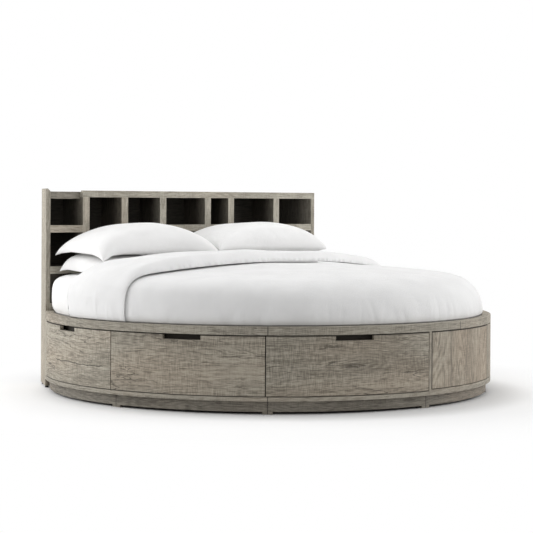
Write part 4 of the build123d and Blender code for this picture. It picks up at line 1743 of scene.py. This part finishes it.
@dataclass(frozen=True)
class Bedding:
    """Everything soft on the bed.

    Args:
        layers: the mattress, the duvet and its turned-back band.
        pillows: the two stacks.
    """

    layers: tuple[BeddingLayer, ...] = (
        Mattress("mattress_in_sheet", "mattress", "sheet_cotton", SHEET, 0.95, 150),
        Duvet("duvet_main", "duvet", "duvet_cotton", DUVET, 0.45, 190),
        FoldBand("duvet_band", "duvet_fold", "duvet_cotton", DUVET, 0.5, 280),
    )
    pillows: tuple[Pillow, ...] = (
        Pillow(
            "pillow_left_lower", (-0.562, 0.469), (0.378, 0.205), 0.69, 0.15, 0.05, (0.072, 0.03),
            0.026, 0.024, 0.028, (5.4, 3.9), 0.6, (0.03, 0.105), 1.0,
        ),
        Pillow(
            "pillow_right_lower", (0.262, 0.464), (0.378, 0.205), 0.69, 0.15, 0.05, (0.072, 0.03),
            0.02, 0.02, 0.02, (5.4, 3.9), 0.6, (0.03, 0.105), 2.0,
        ),
        Pillow(
            "pillow_left_upper", (-0.54, 0.459), (0.418, 0.234), 0.791, 0.1324, 0.056, (1.0, 1.0),
            0.03, 0.036, 0.022, (1.91, 3.7), 0.46, (0.035, 0.17), 3.0, 0.12,
        ),
        Pillow(
            "pillow_right_upper", (0.259, 0.455), (0.41, 0.218), 0.784, 0.1172, 0.055, (1.0, 1.0),
            0.016, 0.012, 0.01, (3.24, 2.9), 0.46, (0.07, 0.1), 4.0, 0.136,
        ),
    )

    def build(self, palette: Palette) -> None:
        """Makes every layer and pillow."""
        for part in self.layers + self.pillows:
            part.build(palette)


def direction_basis(azimuth: float) -> tuple[Vector, Vector]:
    """The camera's forward and rightward directions on the floor plane."""
    forward = Vector((math.sin(math.radians(azimuth)), math.cos(math.radians(azimuth)), 0.0))
    return forward, Vector((forward.y, -forward.x, 0.0))


@dataclass(frozen=True)
class PhotoCamera:
    """The photograph's camera: not pitched, and rolled by a fraction of a degree.

    Args:
        azimuth: the viewing direction, degrees from +Y towards +X.
        focal: focal length in pixels.
        frame: the picture's side in pixels.
        horizon: the horizon's row in pixels.
        height: height of the lens.
        distance: how far the circle's axis lies ahead of the lens.
        side_offset: how far it lies to the right of the lens's axis.
        roll: how far the picture's right side is turned down, degrees.
        sensor: width of the sensor, millimetres.
        reach: how far it sees, metres.
    """

    azimuth: float = 40.44
    focal: float = 1683.5
    frame: float = 533.0
    horizon: float = 202.75
    height: float = 1.0202
    distance: float = 9.3048
    side_offset: float = 0.0113
    roll: float = 0.311
    sensor: float = 36.0
    reach: float = 60.0

    def build(self) -> bpy.types.Object:
        """Creates the camera and makes it the scene's own.

        Returns:
            The camera.
        """
        forward, right = direction_basis(self.azimuth)
        data = bpy.data.cameras.new("photo camera")
        data.sensor_width = self.sensor
        data.sensor_fit = "HORIZONTAL"
        data.lens = self.focal / self.frame * self.sensor
        data.shift_y = (self.horizon - self.frame / 2) / self.frame
        data.clip_end = self.reach
        camera = bpy.data.objects.new("photo camera", data)
        place = Vector((0.0, CENTRE_Y, 0.0)) - forward * self.distance - right * self.side_offset
        camera.location = (place.x, place.y, self.height)
        camera.rotation_euler = (math.pi / 2, -math.radians(self.roll), -math.radians(self.azimuth))
        bpy.context.scene.collection.objects.link(camera)
        bpy.context.scene.camera = camera
        return camera


@dataclass(frozen=True)
class Lamp:
    """A soft area lamp, placed from the bed's middle in the camera's directions.

    Args:
        name: its name.
        rightward: how far it stands to the right, metres.
        forward: how far it stands ahead, away from the camera.
        height: how high it hangs above the floor.
        size: its width and height.
        power: its power, watts.
    """

    name: str
    rightward: float
    forward: float
    height: float
    size: Point
    power: float

    def build(self, middle: Vector) -> None:
        """Makes the lamp and turns it to the bed.

        Args:
            middle: where it points.
        """
        forward, right = direction_basis(PhotoCamera.azimuth)
        data = bpy.data.lights.new(self.name, "AREA")
        data.shape = "RECTANGLE"
        data.size, data.size_y = self.size
        data.energy = self.power
        light = bpy.data.objects.new(self.name, data)
        lift = Vector((0.0, 0.0, self.height - middle.z))
        light.location = middle + right * self.rightward + forward * self.forward + lift
        light.rotation_euler = (middle - light.location).to_track_quat("-Z", "Y").to_euler()
        bpy.context.scene.collection.objects.link(light)


@dataclass(frozen=True)
class Studio:
    """A plain pale floor, soft lamps and a white surround.

    Args:
        aim_height: height of the point that the lamps face, metres.
        ambient: the surround's strength as a light.
        floor_size: half the floor's side, metres.
        floor_tones: the floor's darker and lighter grey.
        floor_glow: how much light the floor gives to the camera beside the bed.
        glow_range: the distances from the origin between which that light sets in, metres.
        plain_range: the distances between which the floor turns plain white, metres.
        lamps: the lamps.
    """

    aim_height: float = 0.4
    ambient: float = 0.3
    floor_size: float = 30.0
    floor_tones: Point = (0.8, 0.82)
    floor_glow: float = 0.17
    glow_range: Point = (1.15, 1.4)
    plain_range: Point = (1.45, 2.2)
    lamps: tuple[Lamp, ...] = (
        Lamp("left softbox", -5.2, 0.2, 2.2, (4.0, 4.0), 192.0),
        Lamp("right softbox", 5.4, 0.2, 2.0, (3.6, 3.6), 145.0),
        Lamp("overhead softbox", 0.0, 0.6, 5.0, (6.0, 6.0), 150.0),
        Lamp("front fill", -0.8, -6.5, 3.4, (4.0, 3.0), 60.0),
    )

    def build(self) -> None:
        """Makes the lamps, the floor and the surround."""
        for lamp in self.lamps:
            lamp.build(Vector((0.0, CENTRE_Y, self.aim_height)))
        self.build_floor()
        self.build_surround()
        bpy.context.scene.view_settings.view_transform = "Standard"

    def build_floor(self) -> None:
        """Makes the floor, which is stage and not part of the bed."""
        built = bmesh.new()
        bmesh.ops.create_grid(built, x_segments=1, y_segments=1, size=self.floor_size)
        floor = new_piece("floor", built)
        paint(floor, self.floor_material())

    def floor_material(self) -> bpy.types.Material:
        """The floor's material: it keeps the bed's shadow, and turns plain white further out.

        Returns:
            The material.
        """
        material = bpy.data.materials.new("pale floor")
        material.use_nodes = True
        graph = Graph(material.node_tree)
        shader = find_node(material.node_tree, "BSDF_PRINCIPLED")
        place = graph.place()
        tone = graph.noise(place, Pattern.FLOOR_TONES)
        darker, lighter = ((grey,) * 3 for grey in self.floor_tones)
        graph.feed(shader.inputs["Base Color"], graph.mix(tone, darker, lighter))
        shader.inputs["Roughness"].default_value = 0.9
        shader.inputs["Specular IOR Level"].default_value = 0.0
        reach = graph.vector("LENGTH", place)
        glow, plain = graph.add("ShaderNodeEmission"), graph.add("ShaderNodeEmission")
        graph.feed(glow.inputs["Strength"], graph.ease(reach, *self.glow_range, 0.0, self.floor_glow))
        plain.inputs["Strength"].default_value = 1.0
        near = graph.fill(graph.add("ShaderNodeAddShader"), shader.outputs[0], glow.outputs[0])
        spread = graph.blend(graph.ease(reach, *self.plain_range), near.outputs[0], plain.outputs[0])
        seen = graph.add("ShaderNodeLightPath").outputs["Is Camera Ray"]
        output = find_node(material.node_tree, "OUTPUT_MATERIAL")
        graph.feed(output.inputs["Surface"], graph.blend(seen, shader.outputs[0], spread))
        return material

    def build_surround(self) -> None:
        """White to the camera and in reflections, softer as a light."""
        world = bpy.data.worlds.new("white surround")
        world.use_nodes = True
        graph = Graph(world.node_tree)
        back = find_node(world.node_tree, "BACKGROUND")
        path = graph.add("ShaderNodeLightPath").outputs
        shown = graph.math("MAXIMUM", path["Is Camera Ray"], path["Is Glossy Ray"])
        shown = graph.math("MAXIMUM", shown, path["Is Transmission Ray"])
        graph.feed(back.inputs["Color"], (1.0, 1.0, 1.0))
        graph.feed(back.inputs["Strength"], shown * (1.0 - self.ambient) + self.ambient)
        bpy.context.scene.world = world


def main() -> None:
    """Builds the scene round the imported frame."""
    logging.basicConfig(level=logging.INFO)
    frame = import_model()
    palette = Palette()
    PhotoCamera().build()
    FrameDressing().dress(frame["nodes"], palette)
    Bedding().build(palette)
    Studio().build()


if __name__ == "__main__":
    main()
